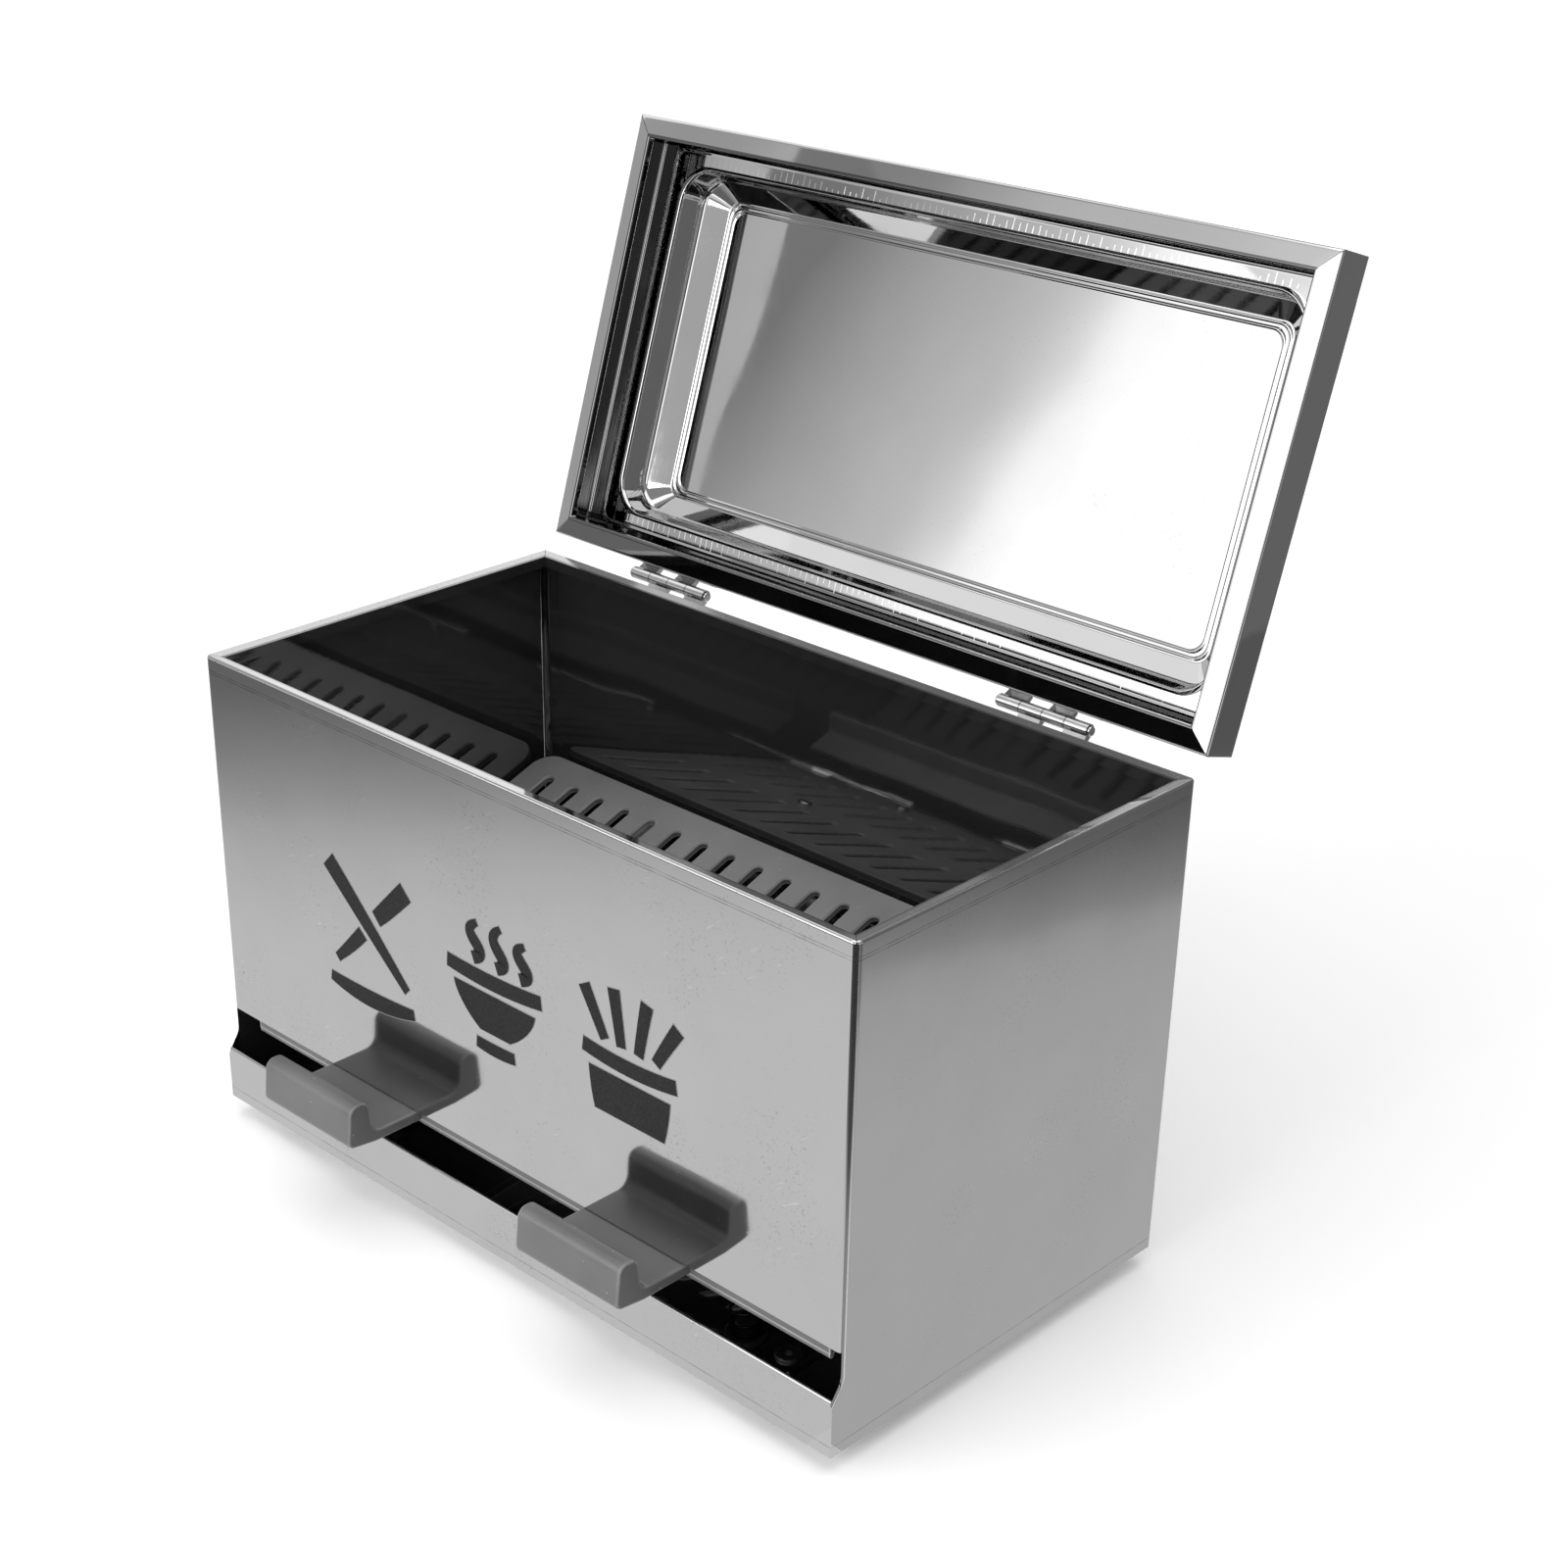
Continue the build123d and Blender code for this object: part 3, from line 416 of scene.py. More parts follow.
@dataclass(frozen=True)
class CabinetSheet(BuffedSheet):
    """The cabinet's stainless sheet, buffed outside and still bright from the mill inside.

    It gives a hazy mirror outside, with fine rolled lines under the rim and over the foot edge
    and the flecks and scratches of use, and a clearer mirror inside whose colour is darkened as painted
    shade.
    """

    inside_low: Point = (-144.6, -97.15, 7.3)
    inside_high: Point = (144.6, 54.35, 174.2)
    line_heights: tuple[float, ...] = (169.9, 168.9, 10.6)
    line_width: float = 0.28
    rim_middle: float = -21.4036  # the rim's middle on Y
    rim_half: tuple[float, float] = (145.0, 76.15)  # its half width and half depth
    rim_reach: float = 4.9
    rim_z: tuple[float, float] = (173.6, 175.2)  # between which the rim's top lies
    mitre_width: float = 0.3
    break_mm: float = 5.0         # length of the rolled lines' fainter stretches
    patch_mm: float = 34.0        # size of the handled patches
    fleck_mm: float = 0.9         # spacing of their flecks, drawn coarse enough to show
    scratch_mm: float = 1.1       # spacing of the hair scratches

    def marks(self, tree: bpy.types.NodeTree, place: bpy.types.NodeSocket) -> Marks:
        """Draws the rolled lines, the rim's mitre lines and the wear, and tells the inside.

        Args:
            tree: the node tree.
            place: the coordinate.

        Returns:
            The marks.
        """
        low, high = (tuple(v * MM for v in corner) for corner in (self.inside_low, self.inside_high))
        inside = box_mask(tree, place, low, high)
        lines = [
            box_mask(tree, place, (-FAR, -FAR, z * MM), (FAR, FAR, (z + self.line_width) * MM))
            for z in self.line_heights
        ]
        rolled = add_node(
            tree, "Math", {"operation": "SUBTRACT", "use_clamp": True}, {0: union(tree, lines), 1: inside}
        )
        breaks = add_node(
            tree, "TexNoise", None, {"Vector": place, "Scale": per_metre(self.break_mm), "Detail": 2.0}
        )
        depth = add_node(tree, "MapRange", None, {0: breaks, 1: 0.35, 2: 0.65, 3: 0.22, 4: 0.6})
        faded = add_node(tree, "Math", {"operation": "MULTIPLY"}, {0: rolled, 1: depth})
        middle = (0.0, self.rim_middle * MM, 0.0)
        half = (self.rim_half[0] * MM, self.rim_half[1] * MM, 0.0)
        away = add_node(tree, "VectorMath", {"operation": "SUBTRACT"}, {0: place, 1: middle})
        size = add_node(tree, "VectorMath", {"operation": "ABSOLUTE"}, {0: away})
        inset = add_node(tree, "VectorMath", {"operation": "SUBTRACT"}, {0: half, 1: size})
        mitre = mitre_mask(tree, inset, self.mitre_width * MM, self.rim_reach * MM)
        rim_low, rim_high = (z * MM for z in self.rim_z)
        rim = box_mask(tree, place, (-FAR, -FAR, rim_low), (FAR, FAR, rim_high))
        cut = add_node(tree, "Math", {"operation": "MULTIPLY"}, {0: mitre, 1: rim})
        flecks, scratches = self.wear(tree, place, inside, rim)
        dark = union(tree, [faded.outputs[0], cut.outputs[0], flecks])
        return Marks(dark=dark, pale=scratches, clear=inside)

    def wear(
        self,
        tree: bpy.types.NodeTree,
        place: bpy.types.NodeSocket,
        inside: bpy.types.NodeSocket,
        rim: bpy.types.NodeSocket,
    ) -> tuple[bpy.types.NodeSocket, bpy.types.NodeSocket]:
        """Draws the flecks and hair scratches that handling leaves on the buffed side.

        Args:
            tree: the node tree.
            place: the coordinate.
            inside: the mask of the unbuffed side, which has neither.
            rim: the mask of the rim, which is flecked all along.

        Returns:
            The masks of the flecks and of the scratches.
        """
        patch = add_node(
            tree, "TexNoise", None, {"Vector": place, "Scale": per_metre(self.patch_mm), "Detail": 3.0}
        )
        patches = add_node(tree, "MapRange", None, {0: patch, 1: 0.50, 2: 0.66})
        outside = add_node(
            tree, "Math", {"operation": "SUBTRACT", "use_clamp": True}, {0: patches, 1: inside}
        )
        edged = add_node(tree, "Math", {"operation": "MAXIMUM"}, {0: outside, 1: rim})
        grit = add_node(
            tree, "TexNoise", None, {"Vector": place, "Scale": per_metre(self.fleck_mm), "Detail": 3.0}
        )
        grits = add_node(tree, "MapRange", None, {0: grit, 1: 0.60, 2: 0.70, 4: 0.32})
        flecks = add_node(tree, "Math", {"operation": "MULTIPLY"}, {0: grits, 1: edged})
        slanted = add_node(
            tree, "Mapping", {"vector_type": "TEXTURE"},
            {"Vector": place, "Rotation": (0.4, 0.95, 0.3), "Scale": (1.0, 1.0, 22.0)},
        )
        scratch = add_node(
            tree, "TexNoise", None, {"Vector": slanted, "Scale": per_metre(self.scratch_mm), "Detail": 1.0}
        )
        hairs = add_node(tree, "MapRange", None, {0: scratch, 1: 0.70, 2: 0.76, 4: 0.22})
        scratches = add_node(tree, "Math", {"operation": "MULTIPLY"}, {0: hairs, 1: edged})
        return flecks.outputs[0], scratches.outputs[0]


@dataclass(frozen=True)
class LidSheet(BuffedSheet):
    """The lid's deep-drawn stainless sheet, buffed on both sides.

    It gives a bright mirror with drawing marks beside the dome's foot, dull lines where the edges
    meet, a painted shade line along the flange's inward fold, and a light haze. Its pattern follows
    the sheet's own coordinates, which its pan_place attribute holds in metres with the lid closed and level.
    """

    half_width: float = 145.0
    half_depth: float = 75.75
    flange: float = 7.6
    foot: float = 13.5
    flange_z: tuple[float, float] = (-3.0, 1.2)
    tick_pitch: float = 2.7
    tick_width: float = 0.35
    tick_ends: tuple[float, float, float] = (4.6, 1.4, 0.6)  # longest, shortest, gap at the foot
    tick_z: tuple[float, float] = (8.0, 14.7)
    tick_stop: float = 7.0        # how far from the dome's corners the marks end
    mitre_width: float = 0.35
    fold_shade_width: float = 1.2       # the painted shade line where the flange folds inwards
    fade_mm: float = 45.0         # size of the stretches where the marks are fainter

    def place(self, tree: bpy.types.NodeTree) -> bpy.types.NodeSocket:
        """Gives the sheet's own coordinate, in metres."""
        return add_node(tree, "Attribute", {"attribute_name": "pan_place"}).outputs["Vector"]

    def ticks(
        self, tree: bpy.types.NodeTree, along: bpy.types.NodeSocket, inset: bpy.types.NodeSocket
    ) -> bpy.types.NodeSocket:
        """Draws the short drawing marks that stand square to the dome's foot.

        The place along the edge is divided by the pitch. Its fraction picks a thin line, and its
        whole number picks a chance length by which the line reaches out from the foot.

        Args:
            tree: the node tree.
            along: the place along the edge, in metres.
            inset: the distance in from the edge, in metres.

        Returns:
            The mask.
        """
        count = add_node(tree, "Math", {"operation": "DIVIDE"}, {0: along, 1: self.tick_pitch * MM})
        part = add_node(tree, "Math", {"operation": "FRACT"}, {0: count})
        line = add_node(
            tree, "Math", {"operation": "LESS_THAN"}, {0: part, 1: self.tick_width / self.tick_pitch}
        )
        whole = add_node(tree, "Math", {"operation": "FLOOR"}, {0: count})
        chance = add_node(tree, "TexWhiteNoise", {"noise_dimensions": "1D"}, {"W": whole})
        longest, shortest, gap = ((self.foot - reach) * MM for reach in self.tick_ends)
        start = add_node(tree, "MapRange", None, {0: chance, 3: shortest, 4: longest})
        long_enough = add_node(tree, "Math", {"operation": "GREATER_THAN"}, {0: inset, 1: start})
        end = add_node(tree, "Math", {"operation": "LESS_THAN"}, {0: inset, 1: gap})
        span = add_node(tree, "Math", {"operation": "MULTIPLY"}, {0: long_enough, 1: end})
        return add_node(tree, "Math", {"operation": "MULTIPLY"}, {0: span, 1: line}).outputs[0]

    def marks(self, tree: bpy.types.NodeTree, place: bpy.types.NodeSocket) -> Marks:
        """Draws the flange's mitre lines, a painted shade line along its fold, and the drawing marks beside
        the dome's foot.

        Args:
            tree: the node tree.
            place: the coordinate.

        Returns:
            The marks.
        """
        size = add_node(tree, "VectorMath", {"operation": "ABSOLUTE"}, {0: place})
        edge = (self.half_width * MM, self.half_depth * MM, 0.0)
        inset = add_node(tree, "VectorMath", {"operation": "SUBTRACT"}, {0: edge, 1: size})
        flange_low, flange_high = (z * MM for z in self.flange_z)
        low = box_mask(tree, place, (-FAR, -FAR, flange_low), (FAR, FAR, flange_high))
        mitre = mitre_mask(tree, inset, self.mitre_width * MM, self.flange * MM)
        line = add_node(tree, "Math", {"operation": "MULTIPLY"}, {0: mitre, 1: low})
        parts = add_node(tree, "SeparateXYZ", None, {0: inset})
        near = add_node(tree, "Math", {"operation": "MINIMUM"}, {0: parts.outputs[0], 1: parts.outputs[1]})
        # painted shade: a dark band along the flange's inward fold
        fold = add_node(
            tree, "Math", {"operation": "COMPARE"},
            {0: near, 1: (self.flange - self.fold_shade_width / 2.0) * MM, 2: self.fold_shade_width / 2.0 * MM},
        )
        fold_shade_band = add_node(tree, "Math", {"operation": "MULTIPLY"}, {0: fold, 1: low})
        fold_shade = add_node(tree, "Math", {"operation": "MULTIPLY"}, {0: fold_shade_band, 1: 0.8})
        own = add_node(tree, "SeparateXYZ", None, {0: place})
        long_sides = self.ticks(tree, own.outputs[0], parts.outputs[1])
        reach = (self.half_width - self.foot - self.tick_stop) * MM
        tick_low, tick_high = (z * MM for z in self.tick_z)
        straight = box_mask(tree, place, (-reach, -FAR, tick_low), (reach, FAR, tick_high))
        drawn = add_node(tree, "Math", {"operation": "MULTIPLY"}, {0: long_sides, 1: straight})
        wear_and_highlight = add_node(tree, "TexNoise", None, {"Vector": place, "Scale": per_metre(self.fade_mm)})
        share = add_node(tree, "MapRange", None, {0: wear_and_highlight, 1: 0.38, 2: 0.52, 3: 0.15, 4: 0.85})
        pale = add_node(tree, "Math", {"operation": "MULTIPLY"}, {0: drawn, 1: share})
        return Marks(dark=union(tree, [line.outputs[0], fold_shade.outputs[0]]), pale=pale.outputs[0])


@dataclass(frozen=True)
class MouldedPlastic:
    """Injection-moulded ABS with a fine spark-eroded grain.

    It gives a soft, broad highlight, a slight mottling of its grey, a little dust, and a pale
    painted highlight along its convex edges that also stands for handling wear.
    """

    name: str
    colour: str
    pale: str
    # the pale colour of the painted edge highlight, which also stands for handling wear
    wear_and_highlight: str
    roughness: float = 0.36
    highlight_reach_mm: float = 0.9          # how far the painted edge highlight reaches from an edge
    grain_mm: float = 0.8         # eroded grain, drawn coarser than the real 0.1 mm so it shows
    grain_depth: float = 0.05
    mottle_mm: float = 22.0
    dust_mm: float = 5.0

    def build(self) -> bpy.types.Material:
        """Makes the material.

        Returns:
            The finished material.
        """
        material, tree, shader = new_material(self.name)
        place = add_node(tree, "TexCoord").outputs["Object"]
        mottle = add_node(
            tree, "TexNoise", None, {"Vector": place, "Scale": per_metre(self.mottle_mm), "Detail": 4.0}
        )
        grain = add_node(
            tree, "TexNoise", None, {"Vector": place, "Scale": per_metre(self.grain_mm), "Detail": 2.0}
        )
        specks = add_node(tree, "TexVoronoi", None, {"Vector": place, "Scale": per_metre(self.dust_mm)})
        share = add_node(tree, "MapRange", None, {0: mottle, 1: 0.35, 2: 0.75})
        tone = add_node(
            tree, "Mix", {"data_type": "RGBA"}, {0: share, 6: linear(self.colour), 7: linear(self.pale)}
        )
        dust = add_node(tree, "MapRange", None, {0: specks, 1: 0.05, 2: 0.09, 3: 0.5, 4: 0.0})
        dusty = add_node(
            tree, "Mix", {"data_type": "RGBA"}, {0: dust, 6: tone.outputs[2], 7: linear("A8A8A8")}
        )
        # painted highlight: convex edges, found by inward ambient occlusion, are mixed towards the pale
        # colour in patches
        near_edge = add_node(
            tree, "AmbientOcclusion", {"samples": 8, "inside": True, "only_local": True},
            {"Distance": self.highlight_reach_mm * MM},
        )
        edge = add_node(
            tree, "MapRange", None, {0: near_edge.outputs["AO"], 1: 0.68, 2: 0.92, 3: 1.0, 4: 0.0}
        )
        edge_highlight_share = add_node(tree, "MapRange", None, {0: mottle, 1: 0.3, 2: 0.6, 3: 0.35, 4: 1.0})
        edge_highlight = add_node(tree, "Math", {"operation": "MULTIPLY"}, {0: edge, 1: edge_highlight_share})
        wear_and_highlight = add_node(
            tree, "Mix", {"data_type": "RGBA"}, {0: edge_highlight, 6: dusty.outputs[2], 7: linear(self.wear_and_highlight)}
        )
        sheen = add_node(
            tree, "MapRange", None,
            {0: mottle, 1: 0.3, 2: 0.7, 3: self.roughness - 0.05, 4: self.roughness + 0.08},
        )
        bump = add_node(
            tree, "Bump", None, {"Height": grain, "Strength": self.grain_depth, "Distance": 0.0003}
        )
        fill(tree, shader, {
            "Base Color": wear_and_highlight.outputs[2], "Roughness": sheen, "Normal": bump, "IOR": 1.53,
        })
        return material


@dataclass(frozen=True)
class PlatedSteel:
    """Cold-rolled steel with bright plating.

    It gives a bright metal with a cloudy sheen and small dull flecks.
    """

    name: str
    colour: str = "C4C4C4"
    dull: str = "A9A9A9"
    roughness: float = 0.14
    cloud_mm: float = 6.0

    def build(self) -> bpy.types.Material:
        """Makes the material.

        Returns:
            The finished material.
        """
        material, tree, shader = new_material(self.name)
        place = add_node(tree, "TexCoord").outputs["Object"]
        cloud = add_node(
            tree, "TexNoise", None, {"Vector": place, "Scale": per_metre(self.cloud_mm), "Detail": 5.0}
        )
        share = add_node(tree, "MapRange", None, {0: cloud, 1: 0.45, 2: 0.75})
        tone = add_node(
            tree, "Mix", {"data_type": "RGBA"}, {0: share, 6: linear(self.colour), 7: linear(self.dull)}
        )
        blur = add_node(
            tree, "MapRange", None,
            {0: cloud, 1: 0.3, 2: 0.7, 3: self.roughness - 0.03, 4: self.roughness + 0.06},
        )
        fill(tree, shader, {"Base Color": tone.outputs[2], "Roughness": blur, "Metallic": 1.0})
        return material


@dataclass(frozen=True)
class MouldedRubber:
    """Black natural rubber, moulded and slightly dusty.

    It gives a flat dark surface with a faint grey bloom.
    """

    name: str
    bloom_mm: float = 3.0

    def build(self) -> bpy.types.Material:
        """Makes the material.

        Returns:
            The finished material.
        """
        material, tree, shader = new_material(self.name)
        place = add_node(tree, "TexCoord").outputs["Object"]
        bloom = add_node(
            tree, "TexNoise", None, {"Vector": place, "Scale": per_metre(self.bloom_mm), "Detail": 5.0}
        )
        share = add_node(tree, "MapRange", None, {0: bloom, 1: 0.4, 2: 0.8})
        tone = add_node(
            tree, "Mix", {"data_type": "RGBA"}, {0: share, 6: linear("1A1A1A"), 7: linear("343434")}
        )
        bump = add_node(tree, "Bump", None, {"Height": bloom, "Strength": 0.15, "Distance": 0.0003})
        fill(tree, shader, {"Base Color": tone.outputs[2], "Normal": bump, "Roughness": 0.75})
        return material


@dataclass(frozen=True)
class ScreenInk:
    """Baked screen-printing ink on steel.

    It gives a flat, even mark with a slight sheen and a faint print mesh.
    """

    name: str
    colour: str
    roughness: float = 0.5
    gloss: float = 0.25
    mesh_mm: float = 0.5          # print mesh, drawn coarser than the real 0.1 mm so it shows

    def build(self) -> bpy.types.Material:
        """Makes the material.

        Returns:
            The finished material.
        """
        material, tree, shader = new_material(self.name)
        place = add_node(tree, "TexCoord").outputs["Object"]
        weave = add_node(
            tree, "TexNoise", None, {"Vector": place, "Scale": per_metre(self.mesh_mm), "Detail": 3.0}
        )
        share = add_node(tree, "MapRange", None, {0: weave, 1: 0.35, 2: 0.8, 3: 0.0, 4: 0.08})
        tone = add_node(
            tree, "Mix", {"data_type": "RGBA"}, {0: share, 6: linear(self.colour), 7: linear("8A8A8A")}
        )
        bump = add_node(tree, "Bump", None, {"Height": weave, "Strength": 0.08, "Distance": 0.0001})
        fill(tree, shader, {
            "Base Color": tone.outputs[2], "Normal": bump, "Roughness": self.roughness,
            "Specular IOR Level": self.gloss,
        })
        return material


# ------------------------------------------------------------------ pieces
def dress(frame: dict, nodes: tuple[str, ...], material: bpy.types.Material) -> None:
    """Gives CAD nodes a material.

    Args:
        nodes: the nodes' names.
        material: the material for every slot of theirs.
    """
    for node in nodes:
        piece = frame["nodes"][node]
        if not piece.material_slots:
            piece.data.materials.append(material)
        for slot in piece.material_slots:
            slot.material = material
        LOG.info("dressed %s in %s", node, material.name)


# ------------------------------------------------------------------ inner corners
@dataclass
class CornerBends:
    """The hollow bends that the sheet takes inside the cabinet's two back corners.

    Each is a quarter circle tangent to both walls, closed behind by the walls' own corner, and
    carried straight up.
    """

    inner_x: float = 144.2
    back_y: float = 53.9464
    lap_y: float = 53.1464
    radius: float = 2.2
    low_z: float = 44.0
    high_z: float = 169.0
    steps: int = 10

    def column(self, x: float, y: float, side_x: float, side_y: float) -> np.ndarray:
        """Gives one bend's section at both heights.

        Args:
            x: the corner's x.
            y: the corner's y.
            side_x: 1 where the cabinet lies towards +X of the corner, or -1.
            side_y: 1 where it lies towards +Y, or -1.

        Returns:
            A (2, points, 3) array.
        """
        angle = np.linspace(0.0, math.pi / 2.0, self.steps)
        if side_x * side_y < 0:
            angle = angle[::-1]
        arc_x = x + side_x * self.radius * (1.0 - np.cos(angle))
        arc_y = y + side_y * self.radius * (1.0 - np.sin(angle))
        outline_x = np.concatenate([arc_x, [x - side_x * 0.2]])
        outline_y = np.concatenate([arc_y, [y - side_y * 0.2]])
        level = [
            np.stack([outline_x, outline_y, np.full(len(outline_x), z)], axis=-1)
            for z in (self.low_z, self.high_z)
        ]
        return np.stack(level)

    def build(self, material: bpy.types.Material) -> bpy.types.Object:
        """Makes the two bends as one piece.

        Args:
            material: the sheet's finish.

        Returns:
            The piece.
        """
        corners = [
            (-self.inner_x, self.lap_y, 1.0, -1.0),
            (self.inner_x, self.back_y, -1.0, -1.0),
        ]
        vertices, faces = [], []
        for number, corner in enumerate(corners):
            column = self.column(*corner)
            points = column.shape[1]
            vertices.append(column.reshape(-1, 3))
            faces.append(tube_faces(2, points)[:, ::-1] + number * 2 * points)
        piece = mesh_object("corner_bends", np.concatenate(vertices), np.concatenate(faces))
        piece.data.materials.append(material)
        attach(piece, Body.CABINET.value)
        LOG.info("corner_bends: %d faces", len(piece.data.polygons))
        return piece


# ------------------------------------------------------------------ rocker rib
@dataclass
class RockerRib:
    """The rib under the rocker's full-width front plate, seen through the slot.

    Its section is a tapered tongue with a round lower edge, carried straight along the plate.
    """

    ends: tuple[float, float] = (-132.6, 138.4)
    front_y: float = -95.45
    thick: float = 1.8
    low_z: float = 35.9
    high_z: float = 38.2
    steps: int = 8

    def section(self) -> np.ndarray:
        """Gives the section, an open top closed by a straight line.

        The lower edge is a half circle across the thickness.

        Returns:
            A (points, 2) array of y and z.
        """
        radius = self.thick / 2.0
        angle = np.linspace(0.0, math.pi, self.steps)
        y = np.concatenate([[-0.05], radius - radius * np.cos(angle), [self.thick + 0.05]])
        middle = self.low_z + radius
        z = np.concatenate([[self.high_z], middle - radius * np.sin(angle), [self.high_z]])
        return np.stack([y + self.front_y, z], axis=-1)

    def build(self, material: bpy.types.Material) -> bpy.types.Object:
        """Makes the rib.

        Args:
            material: the rocker's plastic.

        Returns:
            The piece.
        """
        section = self.section()
        points = len(section)
        rows = [np.column_stack([np.full(points, x), section]) for x in self.ends]
        piece = mesh_object("rocker_rib", np.concatenate(rows), tube_faces(2, points))
        piece.data.shade_flat()
        piece.data.materials.append(material)
        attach(piece, Body.ROCKER.value)
        LOG.info("rocker_rib: %d faces", len(piece.data.polygons))
        return piece


# ------------------------------------------------------------------ return springs
@dataclass
class ReturnSpring:
    """One of the two coil springs that lift the rocker, with closed end coils.

    It stands on the cabinet's floor.
    """

    node: str
    wire_radius: float = 0.5
    turns: float = 8.0
    travel: float = 7.4
    turn_steps: int = 36
    wire_steps: int = 8

    def centre_line(self, low: np.ndarray, high: np.ndarray) -> np.ndarray:
        """Gives the wire's centre line, a helix whose pitch is small on the end coils.

        The angle grows evenly. The height is the running sum of a slope that rises from a tight
        end coil to the open coils and falls again, scaled to the spring's length.

        Args:
            low: the node's lowest corner, in millimetres.
            high: its highest corner.

        Returns:
            An (n, 3) array.
        """
        count = int(self.turns * self.turn_steps)
        share = np.linspace(0.0, 1.0, count)
        from_end = np.minimum(share, 1.0 - share) * self.turns
        slope = 0.2 + 0.8 * np.clip(from_end - 0.7, 0.0, 1.0)
        height = np.concatenate([[0.0], np.cumsum((slope[1:] + slope[:-1]) / 2.0)])
        height /= height[-1]
        bottom, top = low[2] + self.wire_radius, high[2] - self.wire_radius
        radius = (high[0] - low[0]) / 2.0 - self.wire_radius
        angle = 2.0 * math.pi * self.turns * share
        x = (low[0] + high[0]) / 2.0 + radius * np.cos(angle)
        y = (low[1] + high[1]) / 2.0 + radius * np.sin(angle)
        return np.stack([x, y, bottom + (top - bottom) * height], axis=-1)

    def build(self, material: bpy.types.Material) -> bpy.types.Object:
        """Makes the spring in its node's place.

        The wire's round section is set out from the centre line along the outward direction and
        the direction square to that and to the line.

        Args:
            material: the spring wire's finish.

        Returns:
            The piece.
        """
        low, high = (np.array(corner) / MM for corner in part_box(self.node))
        line = self.centre_line(low, high)
        outward = line - [(low[0] + high[0]) / 2.0, (low[1] + high[1]) / 2.0, 0.0]
        outward[:, 2] = 0.0
        outward /= np.linalg.norm(outward, axis=1, keepdims=True)
        along = np.gradient(line, axis=0)
        across = np.cross(along, outward)
        across /= np.linalg.norm(across, axis=1, keepdims=True)
        angle = np.linspace(0.0, 2.0 * math.pi, self.wire_steps, endpoint=False)[None, :, None]
        ring = np.cos(angle) * outward[:, None, :] + np.sin(angle) * across[:, None, :]
        points = (line[:, None, :] + self.wire_radius * ring).reshape(-1, 3)
        faces = tube_faces(len(line), self.wire_steps)
        name = self.node.replace("return_spring", "spring_coil")
        piece = mesh_object(name, points, faces)
        piece.data.materials.append(material)
        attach(piece, Body.CABINET.value)
        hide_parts(self.node)
        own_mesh(piece)
        LOG.info("%s: %d faces", name, len(piece.data.polygons))
        return piece


